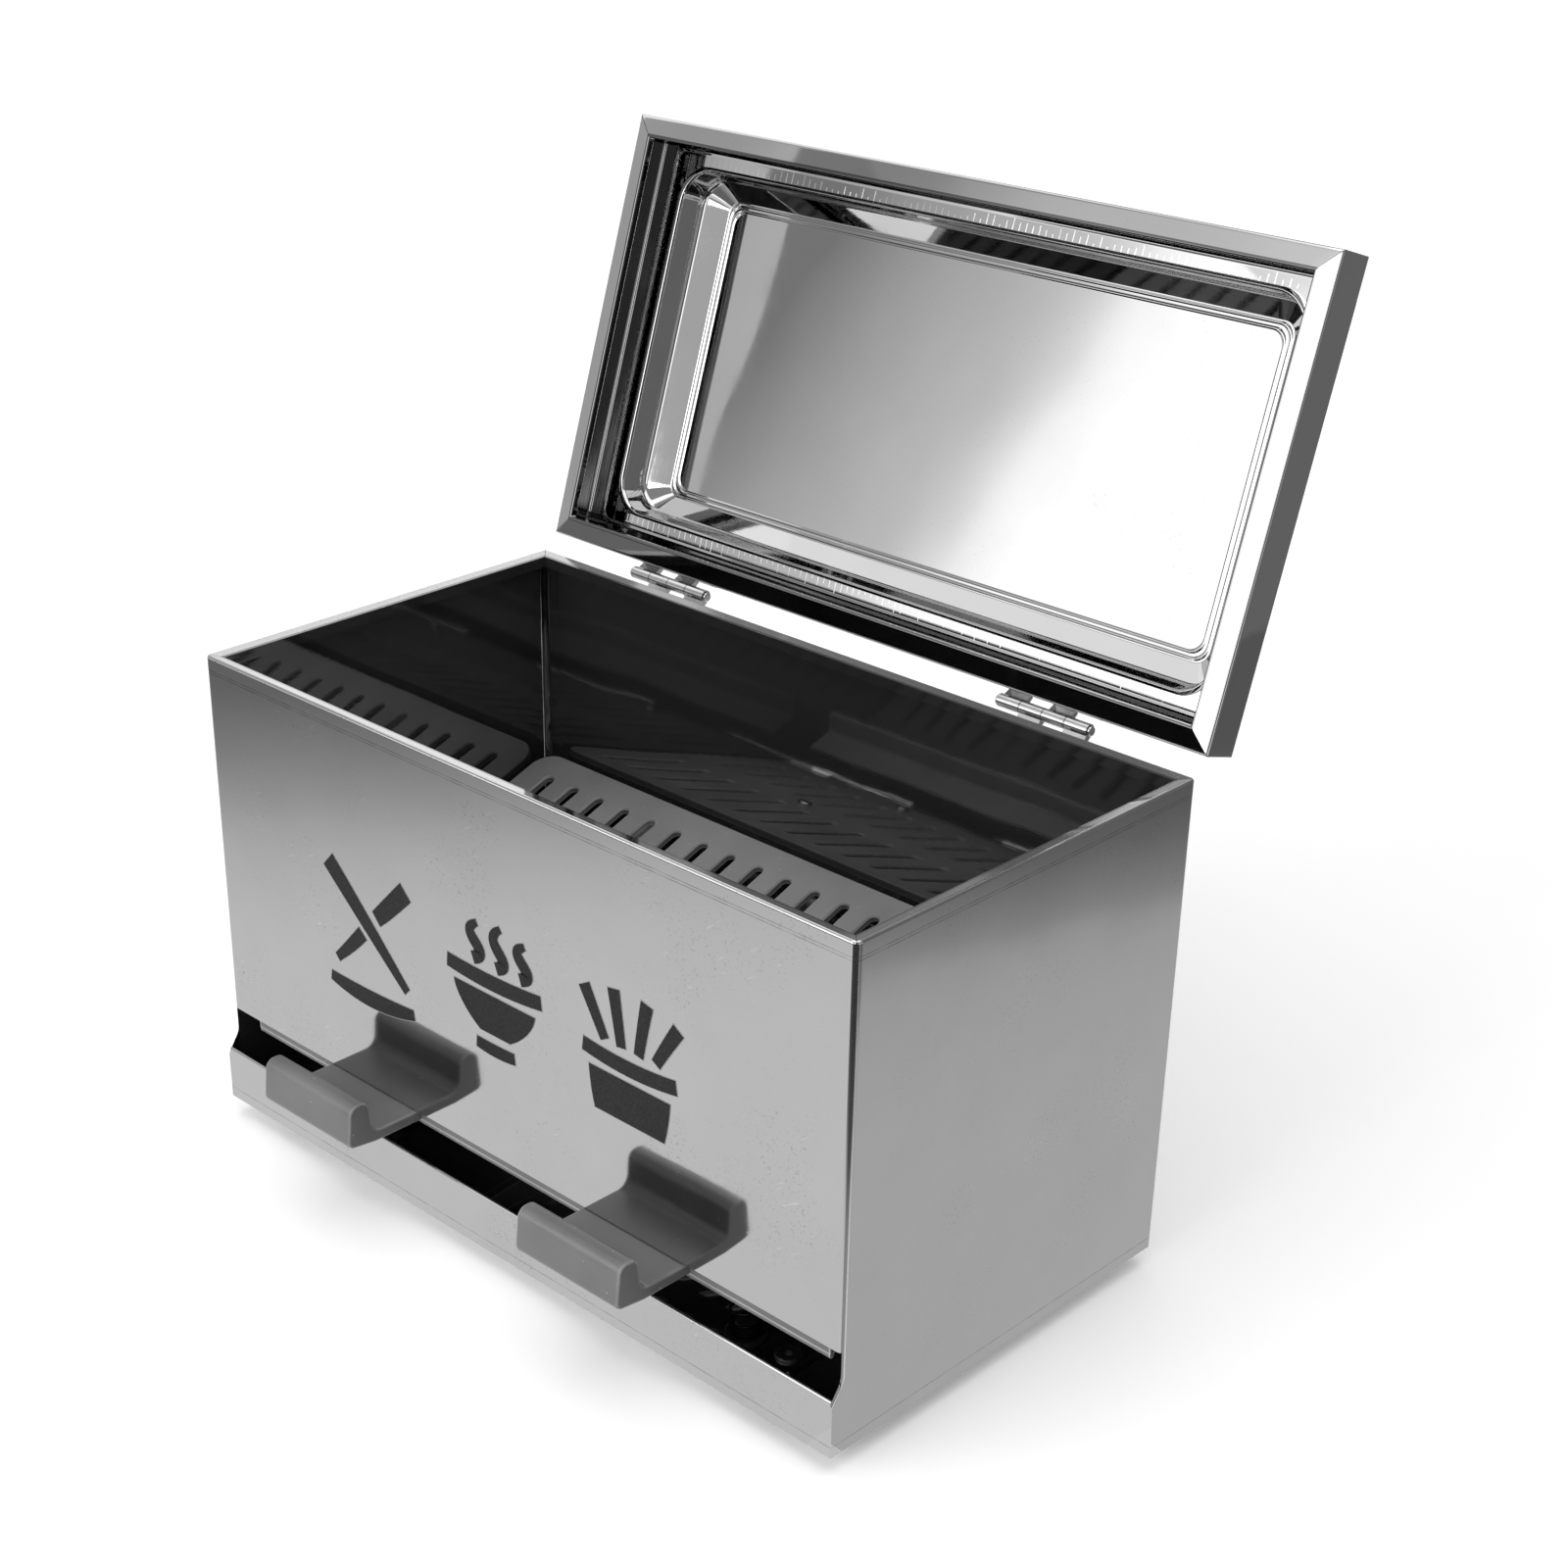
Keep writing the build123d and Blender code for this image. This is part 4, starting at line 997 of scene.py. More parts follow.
# ------------------------------------------------------------------ front marks
@dataclass
class FrontMarks:
    """Three plain kitchen signs printed on the front: sticks, a bowl and a holder.

    A stroke is a smooth line with a width at each point. It is drawn as a thin raised plate: the
    line's left and right edges at half its width, at the plate's top and at its foot.
    """

    panel_y: float = -97.5536
    ink_proud: float = 0.12
    edging_proud: float = 0.06
    edging: float = 0.28
    sink: float = 0.02
    steps: int = 28

    def strokes(self) -> list[tuple[list[tuple[float, float]], list[float]]]:
        """Lists the strokes as (x, z) points with half widths, in millimetres.

        Returns:
            The strokes.
        """
        return [
            ([(-84.0, 121.0), (-66.0, 104.5), (-46.0, 86.0)], [3.7, 3.0, 1.8]),
            ([(-44.5, 122.5), (-54.0, 113.2), (-60.2, 107.4)], [3.6, 3.3, 2.8]),
            ([(-67.8, 99.4), (-74.0, 93.0), (-82.0, 85.5)], [2.6, 2.3, 1.6]),
            ([(-86.0, 77.5), (-65.0, 76.0), (-43.0, 78.5)], [1.9, 3.2, 1.9]),
            ([(-25.0, 106.5), (-3.0, 105.6), (19.0, 107.2)], [2.5, 2.8, 2.5]),
            ([(-3.0, 101.0), (-3.0, 96.0), (-3.0, 91.0), (-3.0, 87.0)], [19.0, 17.0, 12.6, 7.0]),
            ([(-12.0, 82.0), (-3.0, 81.6), (6.0, 82.2)], [2.0, 2.3, 2.0]),
            ([(-12.5, 111.5), (-9.3, 115.5), (-13.0, 119.5), (-10.0, 124.5)], [2.2, 2.4, 2.3, 1.2]),
            ([(-1.5, 111.5), (1.7, 115.5), (-2.0, 120.0), (1.0, 126.0)], [2.2, 2.4, 2.3, 1.2]),
            ([(9.5, 111.8), (12.7, 115.5), (9.0, 119.5), (12.0, 124.0)], [2.2, 2.4, 2.3, 1.2]),
            ([(37.5, 101.5), (57.5, 100.2), (77.5, 102.0)], [2.5, 2.7, 2.5]),
            ([(57.5, 95.4), (57.5, 90.6), (57.5, 85.8), (57.5, 81.0)], [17.5, 17.0, 16.2, 15.0]),
            ([(47.2, 106.4), (43.0, 114.0), (38.5, 122.0)], [2.0, 2.3, 2.6]),
            ([(54.3, 106.2), (52.8, 115.5), (51.2, 125.0)], [2.0, 2.3, 2.6]),
            ([(61.7, 106.2), (63.4, 115.5), (65.4, 125.0)], [2.0, 2.3, 2.6]),
            ([(69.0, 106.6), (73.5, 114.0), (78.4, 121.6)], [2.0, 2.3, 2.6]),
        ]

    def plate(
        self, points: list[tuple[float, float]], halves: list[float], grow: float, proud: float
    ) -> tuple[np.ndarray, np.ndarray]:
        """Draws one stroke as a closed thin plate.

        The line is the polynomial through its points, taken at even steps from 0 to 1. The edges
        lie a half width to each side along the line's normal, and the ends grow along its tangent.

        Args:
            points: the line's points.
            halves: the half width at each point.
            grow: how much wider and longer the plate is on every side.
            proud: how far it stands out from the panel.

        Returns:
            Its vertices and its faces, counted from 0.
        """
        knots = np.linspace(0.0, 1.0, len(points))
        power = len(points) - 1
        share = np.linspace(0.0, 1.0, self.steps)
        line = np.stack(
            [np.polyval(np.polyfit(knots, np.array(points)[:, axis], power), share) for axis in (0, 1)],
            axis=-1,
        )
        half = np.polyval(np.polyfit(knots, halves, power), share) + grow
        tangent = np.gradient(line, axis=0)
        tangent = tangent / np.linalg.norm(tangent, axis=1, keepdims=True)
        line[0] -= tangent[0] * grow
        line[-1] += tangent[-1] * grow
        normal = np.stack([-tangent[:, 1], tangent[:, 0]], axis=-1)
        left, right = line + normal * half[:, None], line - normal * half[:, None]
        top, foot = self.panel_y - proud, self.panel_y + self.sink
        edges = [(left, foot), (left, top), (right, top), (right, foot)]
        rows = np.stack(
            [np.stack([side[:, 0], np.full(len(side), y), side[:, 1]], axis=-1) for side, y in edges],
            axis=1,
        )
        vertices = rows.reshape(-1, 3)
        faces = grid_faces(self.steps, 4, wrap=True)
        last = (self.steps - 1) * 4
        caps = np.array([[3, 2, 1, 0], [last, last + 1, last + 2, last + 3]])
        return vertices, np.concatenate([faces, caps])

    def piece(
        self, name: str, grow: float, proud: float, material: bpy.types.Material, slot: Slot
    ) -> bpy.types.Object:
        """Joins all strokes at one height into a piece.

        Args:
            name: the piece's name.
            grow: how much wider its plates are.
            proud: how far they stand out.
            material: its material.
            slot: the record's slot.

        Returns:
            slot: the record's slot; not used.
        """
        vertices, faces, count = [], [], 0
        for points, halves in self.strokes():
            plate, plate_faces = self.plate(points, halves, grow, proud)
            vertices.append(plate)
            faces.append(plate_faces + count)
            count += len(plate)
        piece = mesh_object(name, np.concatenate(vertices), np.concatenate(faces), smooth=False)
        piece.data.materials.append(material)
        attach(piece, Body.CABINET.value)
        LOG.info("%s: %d faces", name, len(piece.data.polygons))
        return piece

    def build(self) -> None:
        """Makes the pale edging and the dark ink on it."""
        pale = ScreenInk("pale screen ink", "8A8A8A", 0.4).build()
        dark = ScreenInk("dark grey screen ink", "1C1C1C", 0.5, 0.12).build()
        self.piece("mark_edging", self.edging, self.edging_proud, pale, Slot.LIGHT_PLASTIC)
        self.piece("mark_ink", 0.0, self.ink_proud, dark, Slot.DARK_PLASTIC)


# ------------------------------------------------------------------ lid
def rounded_profile(
    corners: list[tuple[float, float, float]], pieces: int = 5, hold: float = 0.35
) -> np.ndarray:
    """Rounds the corners of an open polyline.

    At each corner of radius r an arc that touches both runs replaces the corner. Its centre lies
    on the bisector, and its points turn evenly from one tangent to the other. One more point on
    each run, a holding distance from the arc, keeps the flat runs flat when shaded.

    Args:
        corners: (across, up, radius) for each corner; the ends have radius 0.
        pieces: segments in each arc.
        hold: distance of the holding points from the arc, in millimetres.

    Returns:
        An (n, 2) array of points.
    """
    points = np.array([corner[:2] for corner in corners], dtype=float)
    parts = [points[:1]]
    for index in range(1, len(corners) - 1):
        here = points[index]
        back = points[index - 1] - here
        ahead = points[index + 1] - here
        room = 0.49 * min(np.linalg.norm(back), np.linalg.norm(ahead))
        back = back / np.linalg.norm(back)
        ahead = ahead / np.linalg.norm(ahead)
        half = math.acos(float(np.clip(back @ ahead, -1.0, 1.0))) / 2.0
        reach = min(corners[index][2] / math.tan(half), room)
        radius = reach * math.tan(half)
        middle = (back + ahead) / np.linalg.norm(back + ahead)
        centre = here + middle * radius / math.sin(half)
        first = here + back * reach - centre
        last = here + ahead * reach - centre
        turn = math.pi - 2.0 * half
        share = np.linspace(0.0, 1.0, pieces + 1)[:, None]
        weight_first = np.sin((1.0 - share) * turn) / math.sin(turn)
        weight_last = np.sin(share * turn) / math.sin(turn)
        arc = centre + first * weight_first + last * weight_last
        hold_here = min(hold, 0.4 * max(room - reach, 0.0) + 0.02)
        parts.append((here + back * (reach + hold_here))[None])
        parts.append(arc)
        parts.append((here + ahead * (reach + hold_here))[None])
    parts.append(points[-1:])
    return np.concatenate(parts)


def ring_points(
    half_x: np.ndarray, half_y: np.ndarray, radius: np.ndarray, long_steps: int, short_steps: int,
    arc_steps: int,
) -> np.ndarray:
    """Lays rounded rectangles round the origin, one for each row.

    A row's points run counter-clockwise. Each straight side is the side between two corner arcs,
    divided evenly, and each arc is the quarter circle of the row's radius about its corner centre,
    so that points of the same number lie beside each other in every row.

    Args:
        half_x: half widths, one for each row.
        half_y: half depths, one for each row.
        radius: corner radii, one for each row.
        long_steps: divisions of the sides along X.
        short_steps: divisions of the sides along Y.
        arc_steps: divisions of each corner.

    Returns:
        A (rows, points, 2) array.
    """
    half_x, half_y, radius = (np.asarray(v, dtype=float)[:, None] for v in (half_x, half_y, radius))
    flat_x, flat_y = half_x - radius, half_y - radius
    along_x = np.linspace(-1.0, 1.0, long_steps, endpoint=False)[None]
    along_y = np.linspace(-1.0, 1.0, short_steps, endpoint=False)[None]
    angle = np.linspace(0.0, math.pi / 2.0, arc_steps, endpoint=False)[None]
    parts = []
    corner_signs = ((1, -1, -1), (1, 1, 0), (-1, 1, 1), (-1, -1, 2))
    sides = (
        (flat_x * along_x, -half_y + 0.0 * along_x),
        (half_x + 0.0 * along_y, flat_y * along_y),
        (-flat_x * along_x, half_y + 0.0 * along_x),
        (-half_x + 0.0 * along_y, -flat_y * along_y),
    )
    for (side_x, side_y), (sign_x, sign_y, quarter) in zip(sides, corner_signs):
        parts.append(np.stack([side_x, side_y], axis=-1))
        start = quarter * math.pi / 2.0
        arc_x = sign_x * flat_x + radius * np.cos(start + angle)
        arc_y = sign_y * flat_y + radius * np.sin(start + angle)
        parts.append(np.stack([arc_x, arc_y], axis=-1))
    return np.concatenate(parts, axis=1)


@dataclass
class LidPan:
    """The flip lid's pressed sheet: flange, walls, shoulder and raised dome, both skins.

    Sizes are in millimetres, laid out with the lid closed and then swung open.
    """

    half_width: float = 145.0
    half_depth: float = 75.75
    middle_y: float = -21.0036
    base_z: float = 175.1
    wall: float = 15.1
    sheet: float = 0.8
    flange: float = 7.6
    flange_fall: float = 1.3
    flange_lip: float = 2.0
    foot: float = 13.5
    foot_radius: float = 13.0
    rise: float = 14.2
    run_x: float = 11.9
    run_y: float = 8.6
    top_radius: float = 5.0
    pin: tuple[float, float] = (58.9464, 175.85)
    open_degrees: float = 107.4
    long_steps: int = 72
    short_steps: int = 40
    arc_steps: int = 10
    wave_height: float = 0.05

    def section(self) -> np.ndarray:
        """Gives the sheet's closed section, from the middle of the inner skin to the outer one.

        The inner skin carries fine raised lines, up to 0.45 mm proud: two round the crown, one at
        the dome's foot and one on the shoulder beside it. The outer skin is plain.

        Returns:
            An (n, 2) array of distance in from the lid's edge, and height above its rim plane.
        """
        top_in = self.foot + self.run_x
        shoulder, crown, t = self.wall, self.wall + self.rise, self.sheet
        under, roof = shoulder - t, crown - t
        section = [
            (top_in + 9.0, roof, 0.0),
            (top_in + 3.6, roof, 0.4),
            (top_in + 3.0, roof - 0.3, 0.35),
            (top_in + 2.4, roof, 0.4),
            (top_in + 1.7, roof, 0.4),
            (top_in + 1.1, roof - 0.3, 0.35),
            (top_in + 0.5, roof, 0.4),
            (top_in + 0.1, roof, 2.6),
            (self.foot + 2.9, under + 9.2, 2.6),
            (self.foot + 1.4, under + 0.4, 0.9),
            (self.foot + 0.7, under - 0.45, 0.45),
            (self.foot - 0.5, under - 0.05, 0.6),
            (self.foot - 4.4, under, 0.6),
            (self.foot - 5.2, under - 0.25, 0.4),
            (self.foot - 6.0, under, 0.6),
            (t, under, 0.9),
            (t, t, 0.6),
            (self.flange - t, -self.flange_fall + t, 0.5),
            (self.flange - t, -self.flange_fall + t + self.flange_lip, 0.2),
            (self.flange, -self.flange_fall + t + self.flange_lip, 0.2),
            (self.flange, -self.flange_fall, 0.55),
            (0.0, 0.0, 1.1),
            (0.0, shoulder, 1.3),
            (self.foot, shoulder, 3.0),
            (self.foot + 2.1, under + 9.9, 3.0),
            (top_in + 1.2, crown, 6.0),
            (top_in + 9.0, crown, 0.0),
        ]
        return rounded_profile(section)

    def ring_radius(self, inset: np.ndarray) -> np.ndarray:
        """Gives the corner radius of the ring at each distance in from the edge.

        The radius is nearly nothing on the flange and walls, grows to the dome's foot radius at
        the foot, and shrinks to the top's radius on the crown.

        Args:
            inset: distances in from the edge, in millimetres.

        Returns:
            The radius at each distance.
        """
        top_in = self.foot + self.run_x
        stops = [0.0, self.flange, self.foot - 6.0, self.foot - 2.0, self.foot, top_in, 400.0]
        sizes = [0.35, 0.3, 0.35, 9.0, self.foot_radius, self.top_radius, self.top_radius]
        return np.interp(inset, stops, sizes)

    def depth_inset(self, inset: np.ndarray) -> np.ndarray:
        """Gives the distance in from the front and back edges that goes with one from the ends.

        Args:
            inset: distances in from the ends, in millimetres.

        Returns:
            The distances in from the front and back edges.
        """
        top_in = self.foot + self.run_x
        stops = [-1.0, self.foot, top_in, top_in + 9.0]
        sizes = [-1.0, self.foot, self.foot + self.run_y, self.foot + self.run_y + 9.0]
        return np.interp(inset, stops, sizes)

    def waves(self, x: np.ndarray, y: np.ndarray) -> np.ndarray:
        """Gives the pressed sheet's slight unevenness.

        It is a sum of three slow sine waves across the lid, strongest on the flat crown.

        Args:
            x: places along the lid's width, in millimetres from its middle.
            y: places along its depth, in millimetres from its middle.

        Returns:
            The height to add at each place.
        """
        first = np.sin(x / 31.0 + 0.6) * np.cos(y / 23.0 + 0.4)
        second = np.sin(x / 17.0 - y / 29.0 + 1.9)
        third = np.cos(x / 47.0 + y / 15.0 + 2.6)
        return self.wave_height * (first + 0.45 * second + 0.5 * third)

    def swing(self, points: np.ndarray) -> np.ndarray:
        """Turns closed-lid points about the pins to the open rest place.

        Args:
            points: an (n, 3) array of places with the lid closed.

        Returns:
            The same points with the lid open.
        """
        turn = math.radians(-self.open_degrees)
        y, z = points[:, 1] - self.pin[0], points[:, 2] - self.pin[1]
        swung = points.copy()
        swung[:, 1] = self.pin[0] + y * math.cos(turn) - z * math.sin(turn)
        swung[:, 2] = self.pin[1] + y * math.sin(turn) + z * math.cos(turn)
        return swung

    def build(self, material: bpy.types.Material) -> bpy.types.Object:
        """Makes the lid's sheet as rings of the section, closed by a pole on each skin.

        The section's first and last points are carried inwards in rings that shrink evenly to
        the middle of the crown, so each skin ends in one point. The attribute pan_place keeps
        each point's place with the lid closed, measured from the middle of its rim plane.

        Args:
            material: the sheet's finish.

        Returns:
            The lid's sheet, open, riding the lid.
        """
        section = self.section()
        inset, height = section[:, 0], section[:, 1]
        half_x = self.half_width - inset
        half_y = self.half_depth - self.depth_inset(inset)
        radius = self.ring_radius(inset)
        shrink = np.linspace(0.9, 0.0, 14, endpoint=False)
        rings_x = np.concatenate([half_x[0] * shrink[::-1], half_x, half_x[-1] * shrink])
        rings_y = np.concatenate([half_y[0] * shrink[::-1], half_y, half_y[-1] * shrink])
        rings_r = np.concatenate([radius[0] * shrink[::-1], radius, radius[-1] * shrink])
        rings_z = np.concatenate([np.full(14, height[0]), height, np.full(14, height[-1])])
        flat = ring_points(rings_x, rings_y, rings_r, self.long_steps, self.short_steps, self.arc_steps)
        rows, columns = flat.shape[:2]
        points = np.empty((rows * columns + 2, 3))
        points[:-2, 0] = flat[..., 0].ravel()
        points[:-2, 1] = flat[..., 1].ravel()
        points[:-2, 2] = np.repeat(rings_z, columns)
        points[-2] = (0.0, 0.0, height[0])
        points[-1] = (0.0, 0.0, height[-1])
        inside = np.clip((self.half_width - np.abs(points[:, 0]) - self.foot) / 14.0, 0.0, 1.0)
        inside *= np.clip((self.half_depth - np.abs(points[:, 1]) - self.foot) / 14.0, 0.0, 1.0)
        points[:, 2] += inside * self.waves(points[:, 0], points[:, 1])
        own_place = points.copy()
        points[:, 1] += self.middle_y
        points[:, 2] += self.base_z
        quads = grid_faces(rows, columns, wrap=True)
        edge = np.arange(columns)
        beside = (edge + 1) % columns
        last = (rows - 1) * columns
        count = rows * columns
        start_cap = np.stack([beside, edge, np.full(columns, count)], axis=-1)
        end_cap = np.stack([last + edge, last + beside, np.full(columns, count + 1)], axis=-1)
        caps = np.concatenate([start_cap, end_cap])
        triangles = np.concatenate([quads[:, [0, 1, 2]], quads[:, [0, 2, 3]], caps])
        piece = mesh_object("lid_sheet", self.swing(points), triangles)
        attribute = piece.data.attributes.new("pan_place", "FLOAT_VECTOR", "POINT")
        attribute.data.foreach_set("vector", (own_place * MM).astype(np.float32).ravel())
        piece.data.materials.append(material)
        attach(piece, Body.LID.value)
        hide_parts("lid_shell")
        LOG.info("lid_sheet: %d faces", len(triangles))
        return piece


# ------------------------------------------------------------------ studio
@dataclass
class Studio:
    """Pale floor, soft lamps, grey and white cards, and the camera."""

    camera_mm: Point = (549.7, -564.9, 497.1)
    azimuth: float = 44.21
    elevation: float = 27.01
    roll: float = 0.53
    lens: float = 60.77
    shift: tuple[float, float] = (0.04, 0.0844)
    floor_size: float = 30.0
    room_level: float = 0.45      # the room's light on the object, where 1 is white
    wall_level: float = 0.42      # how bright the room's walls look in the steel
    room_radius: float = 7000.0
    room_rings: int = 12
    room_sectors: int = 48

    def camera(self) -> None:
        """Places the camera by its azimuth, elevation and roll."""
        data = bpy.data.cameras.new("camera")
        data.lens = self.lens
        data.sensor_width = 36.0
        data.shift_x, data.shift_y = self.shift
        data.clip_start, data.clip_end = 0.05, 60.0
        camera = bpy.data.objects.new("camera", data)
        bpy.context.scene.collection.objects.link(camera)
        turn, lift, roll = (math.radians(v) for v in (self.azimuth, self.elevation, self.roll))
        back = np.array([math.sin(turn) * math.cos(lift), -math.cos(turn) * math.cos(lift), math.sin(lift)])
        right = np.array([math.cos(turn), math.sin(turn), 0.0])
        up = np.cross(back, right)
        right_rolled = math.cos(roll) * right + math.sin(roll) * up
        up_rolled = -math.sin(roll) * right + math.cos(roll) * up
        matrix = np.eye(4)
        matrix[:3, 0], matrix[:3, 1], matrix[:3, 2] = right_rolled, up_rolled, back
        matrix[:3, 3] = np.array(self.camera_mm) * MM
        camera.matrix_world = matrix.T.tolist()
        bpy.context.scene.camera = camera

    def card(
        self,
        name: str,
        corners: list[Point],
        stops: list[tuple[float, float]],
        direction: Point = (0.0, 0.0, 0.0),
    ) -> bpy.types.Object:
        """Stands a card beside the object, seen only in its reflections.

        Its brightness follows a straight fade: the place along a direction, in millimetres, is
        looked up between the stops, so one card can go from a dark edge to a bright one.

        Args:
            name: the card's name.
            corners: its corners in millimetres.
            stops: (millimetres along the direction, brightness) in rising order.
            direction: the way the fade runs; its length scales the fade.

        Returns:
            The card.
        """
        faces = np.array([range(len(corners))])
        card = mesh_object(name, np.array(corners, dtype=float), faces, smooth=False)
        material, tree, shader = new_material(name + "_card")
        tree.nodes.remove(shader)
        glow = add_node(tree, "Emission", None, {"Strength": stops[0][1]})
        if len(stops) > 1:
            place = add_node(tree, "TexCoord").outputs["Object"]
            step = tuple(v / MM for v in direction)
            along = add_node(tree, "VectorMath", {"operation": "DOT_PRODUCT"}, {0: place, 1: step})
            low, high = stops[0][0], stops[-1][0]
            share = add_node(tree, "MapRange", None, {0: along.outputs["Value"], 1: low, 2: high})
            peak = max(level for _, level in stops)
            curve = add_node(tree, "FloatCurve", None, {1: share})
            points = curve.mapping.curves[0].points
            while len(points) < len(stops):
                points.new(0.5, 0.5)
            for point, (where, level) in zip(points, stops):
                point.location = ((where - low) / (high - low), level / peak)
            curve.mapping.update()
            fill(tree, glow, {
                "Strength": add_node(tree, "Math", {"operation": "MULTIPLY"}, {0: curve, 1: peak}),
            })
        fill(tree, tree.nodes["Material Output"], {"Surface": glow})
        card.data.materials.append(material)
        self.hide_but_gloss(card)
        return card

    def hide_but_gloss(self, thing: bpy.types.Object) -> None:
        """Leaves a thing of the studio visible in reflections only.

        Args:
            thing: a card or the room's walls.
        """
        thing.visible_camera = False
        thing.visible_diffuse = False
        thing.visible_shadow = False
        thing.visible_transmission = False

    def walls(self) -> None:
        """Raises the room's grey walls and roof, a half sphere seen in reflections only."""
        radius, rows, columns = self.room_radius, self.room_rings, self.room_sectors
        lift = np.linspace(0.0, math.pi / 2.0, rows, endpoint=False)[:, None]
        turn = np.linspace(0.0, 2.0 * math.pi, columns, endpoint=False)[None]
        rings = np.stack(
            [
                radius * np.cos(lift) * np.cos(turn),
                radius * np.cos(lift) * np.sin(turn),
                radius * np.sin(lift) + 0.0 * turn,
            ],
            axis=-1,
        ).reshape(-1, 3)
        points = np.concatenate([rings, [[0.0, 0.0, radius]]])
        quads = grid_faces(rows, columns, wrap=True)
        edge = np.arange(columns)
        last = (rows - 1) * columns
        cap = np.stack([last + edge, last + (edge + 1) % columns, np.full(columns, rows * columns)], axis=-1)
        triangles = np.concatenate([quads[:, [0, 1, 2]], quads[:, [0, 2, 3]], cap])
        room = mesh_object("studio_walls", points, triangles)
        material, tree, shader = new_material("grey studio wall")
        tree.nodes.remove(shader)
        glow = add_node(tree, "Emission", None, {"Strength": self.wall_level})
        fill(tree, tree.nodes["Material Output"], {"Surface": glow})
        room.data.materials.append(material)
        self.hide_but_gloss(room)

    def seen_rays(self, tree: bpy.types.NodeTree) -> bpy.types.NodeSocket:
        """Marks the rays that show the background: camera, glossy and transmission rays.

        Args:
            tree: the node tree.

        Returns:
            The mask.
        """
        rays = add_node(tree, "LightPath").outputs
        kinds = [rays["Is Camera Ray"], rays["Is Glossy Ray"], rays["Is Transmission Ray"]]
        return union(tree, kinds)

    def floor(self) -> None:
        """Lays a white matt floor."""
        half = self.floor_size * 1000.0
        corners = [(-half, -half, 0.0), (half, -half, 0.0), (half, half, 0.0), (-half, half, 0.0)]
        floor = mesh_object("studio_floor", np.array(corners), np.array([[0, 1, 2, 3]]), smooth=False)
        material, tree, shader = new_material("white paper roll")
        place = add_node(tree, "TexCoord").outputs["Object"]
        away = add_node(tree, "VectorMath", {"operation": "LENGTH"}, {0: place}).outputs["Value"]
        fade = add_node(tree, "MapRange", None, {0: away, 1: 0.35, 2: 2.5, 3: 0.16, 4: 0.62})
        lift = add_node(tree, "Math", {"operation": "MULTIPLY"}, {0: self.seen_rays(tree), 1: fade})
        fill(tree, shader, {
            "Base Color": linear("F2F2F2"),
            "Roughness": 0.9,
            "Specular IOR Level": 0.2,
            "Emission Color": (1.0, 1.0, 1.0, 1.0),
            "Emission Strength": lift,
        })
        floor.data.materials.append(material)

    def lamp(
        self,
        name: str,
        place: Point,
        aim: Point,
        size: tuple[float, float],
        watts: float,
    ) -> None:
        """Hangs a rectangular soft lamp.

        Args:
            name: the lamp's name.
            place: where it is, in metres.
            aim: what it points at, in metres.
            size: its width and height, in metres.
            watts: its power.
        """
        data = bpy.data.lights.new(name, "AREA")
        data.shape = "RECTANGLE"
        data.size, data.size_y = size
        data.energy = watts
        lamp = bpy.data.objects.new(name, data)
        bpy.context.scene.collection.objects.link(lamp)
        back = np.array(place) - np.array(aim)
        back = back / np.linalg.norm(back)
        right = np.cross([0.0, 0.0, 1.0], back)
        right = right / np.linalg.norm(right)
        up = np.cross(back, right)
        matrix = np.eye(4)
        matrix[:3, 0], matrix[:3, 1], matrix[:3, 2], matrix[:3, 3] = right, up, back, place
        lamp.matrix_world = matrix.T.tolist()
        lamp.visible_camera = False

    def world(self) -> None:
        """Fills the room with an even grey light that looks white behind the object."""
        world = bpy.data.worlds.new("room")
        world.use_nodes = True
        bpy.context.scene.world = world
        tree = world.node_tree
        level = add_node(
            tree, "MapRange", None, {0: self.seen_rays(tree), 3: self.room_level, 4: 1.0}
        )
        fill(tree, tree.nodes["Background"], {"Color": (1.0, 1.0, 1.0, 1.0), "Strength": level})

    def cards(self) -> None:
        """Stands the cards that the steel mirrors, each named for where it stands."""
        self.card(
            "left_floor",
            [(130, -1500, 0.6), (130, -104, 0.6), (-1500, -104, 0.6), (-1500, -1500, 0.6)],
            [(100, 0.96), (285, 0.94), (345, 0.86), (395, 0.73), (430, 0.58), (480, 0.41), (560, 0.23)],
            (-0.643, -0.766, 0.0),
        )
        self.card(
            "front_floor",
            [(130, -1500, 0.6), (900, -1500, 0.6), (900, -104, 0.6), (130, -104, 0.6)],
            [(0, 1.0), (200, 1.01), (270, 0.9), (315, 0.5), (360, 0.16), (600, 0.08)],
            (0.707, -0.707, 0.0),
        )
        self.card(
            "right_floor",
            [(150, -90, 0.6), (900, -90, 0.6), (900, 1200, 0.6), (150, 1200, 0.6)],
            [(230, 0.7), (335, 0.65), (372, 0.58), (397, 0.41), (428, 0.29), (460, 0.2), (530, 0.16)],
            (1.0, 0.318, 0.0),
        )
        self.card(
            "left_fade",
            [(-400, -760, 170), (-400, -239, 170), (-400, -179, 600), (-400, -760, 600)],
            [
                (120, 0.34), (155, 0.51), (210, 0.73), (264, 0.9), (301, 1.02), (339, 1.34), (378, 1.85),
                (420, 2.05),
            ],
            (0.0, -1.0, -0.3),
        )
        self.card(
            "left_window",
            [(-402, -262, 170), (-402, 520, 170), (-402, 520, 600), (-402, -262, 600)],
            [(-262, 0.80), (-190, 0.78), (-143, 0.6), (-60, 0.62), (0, 0.62), (60, 0.9), (154, 1.3)],
            (0.0, 1.0, 0.0),
        )
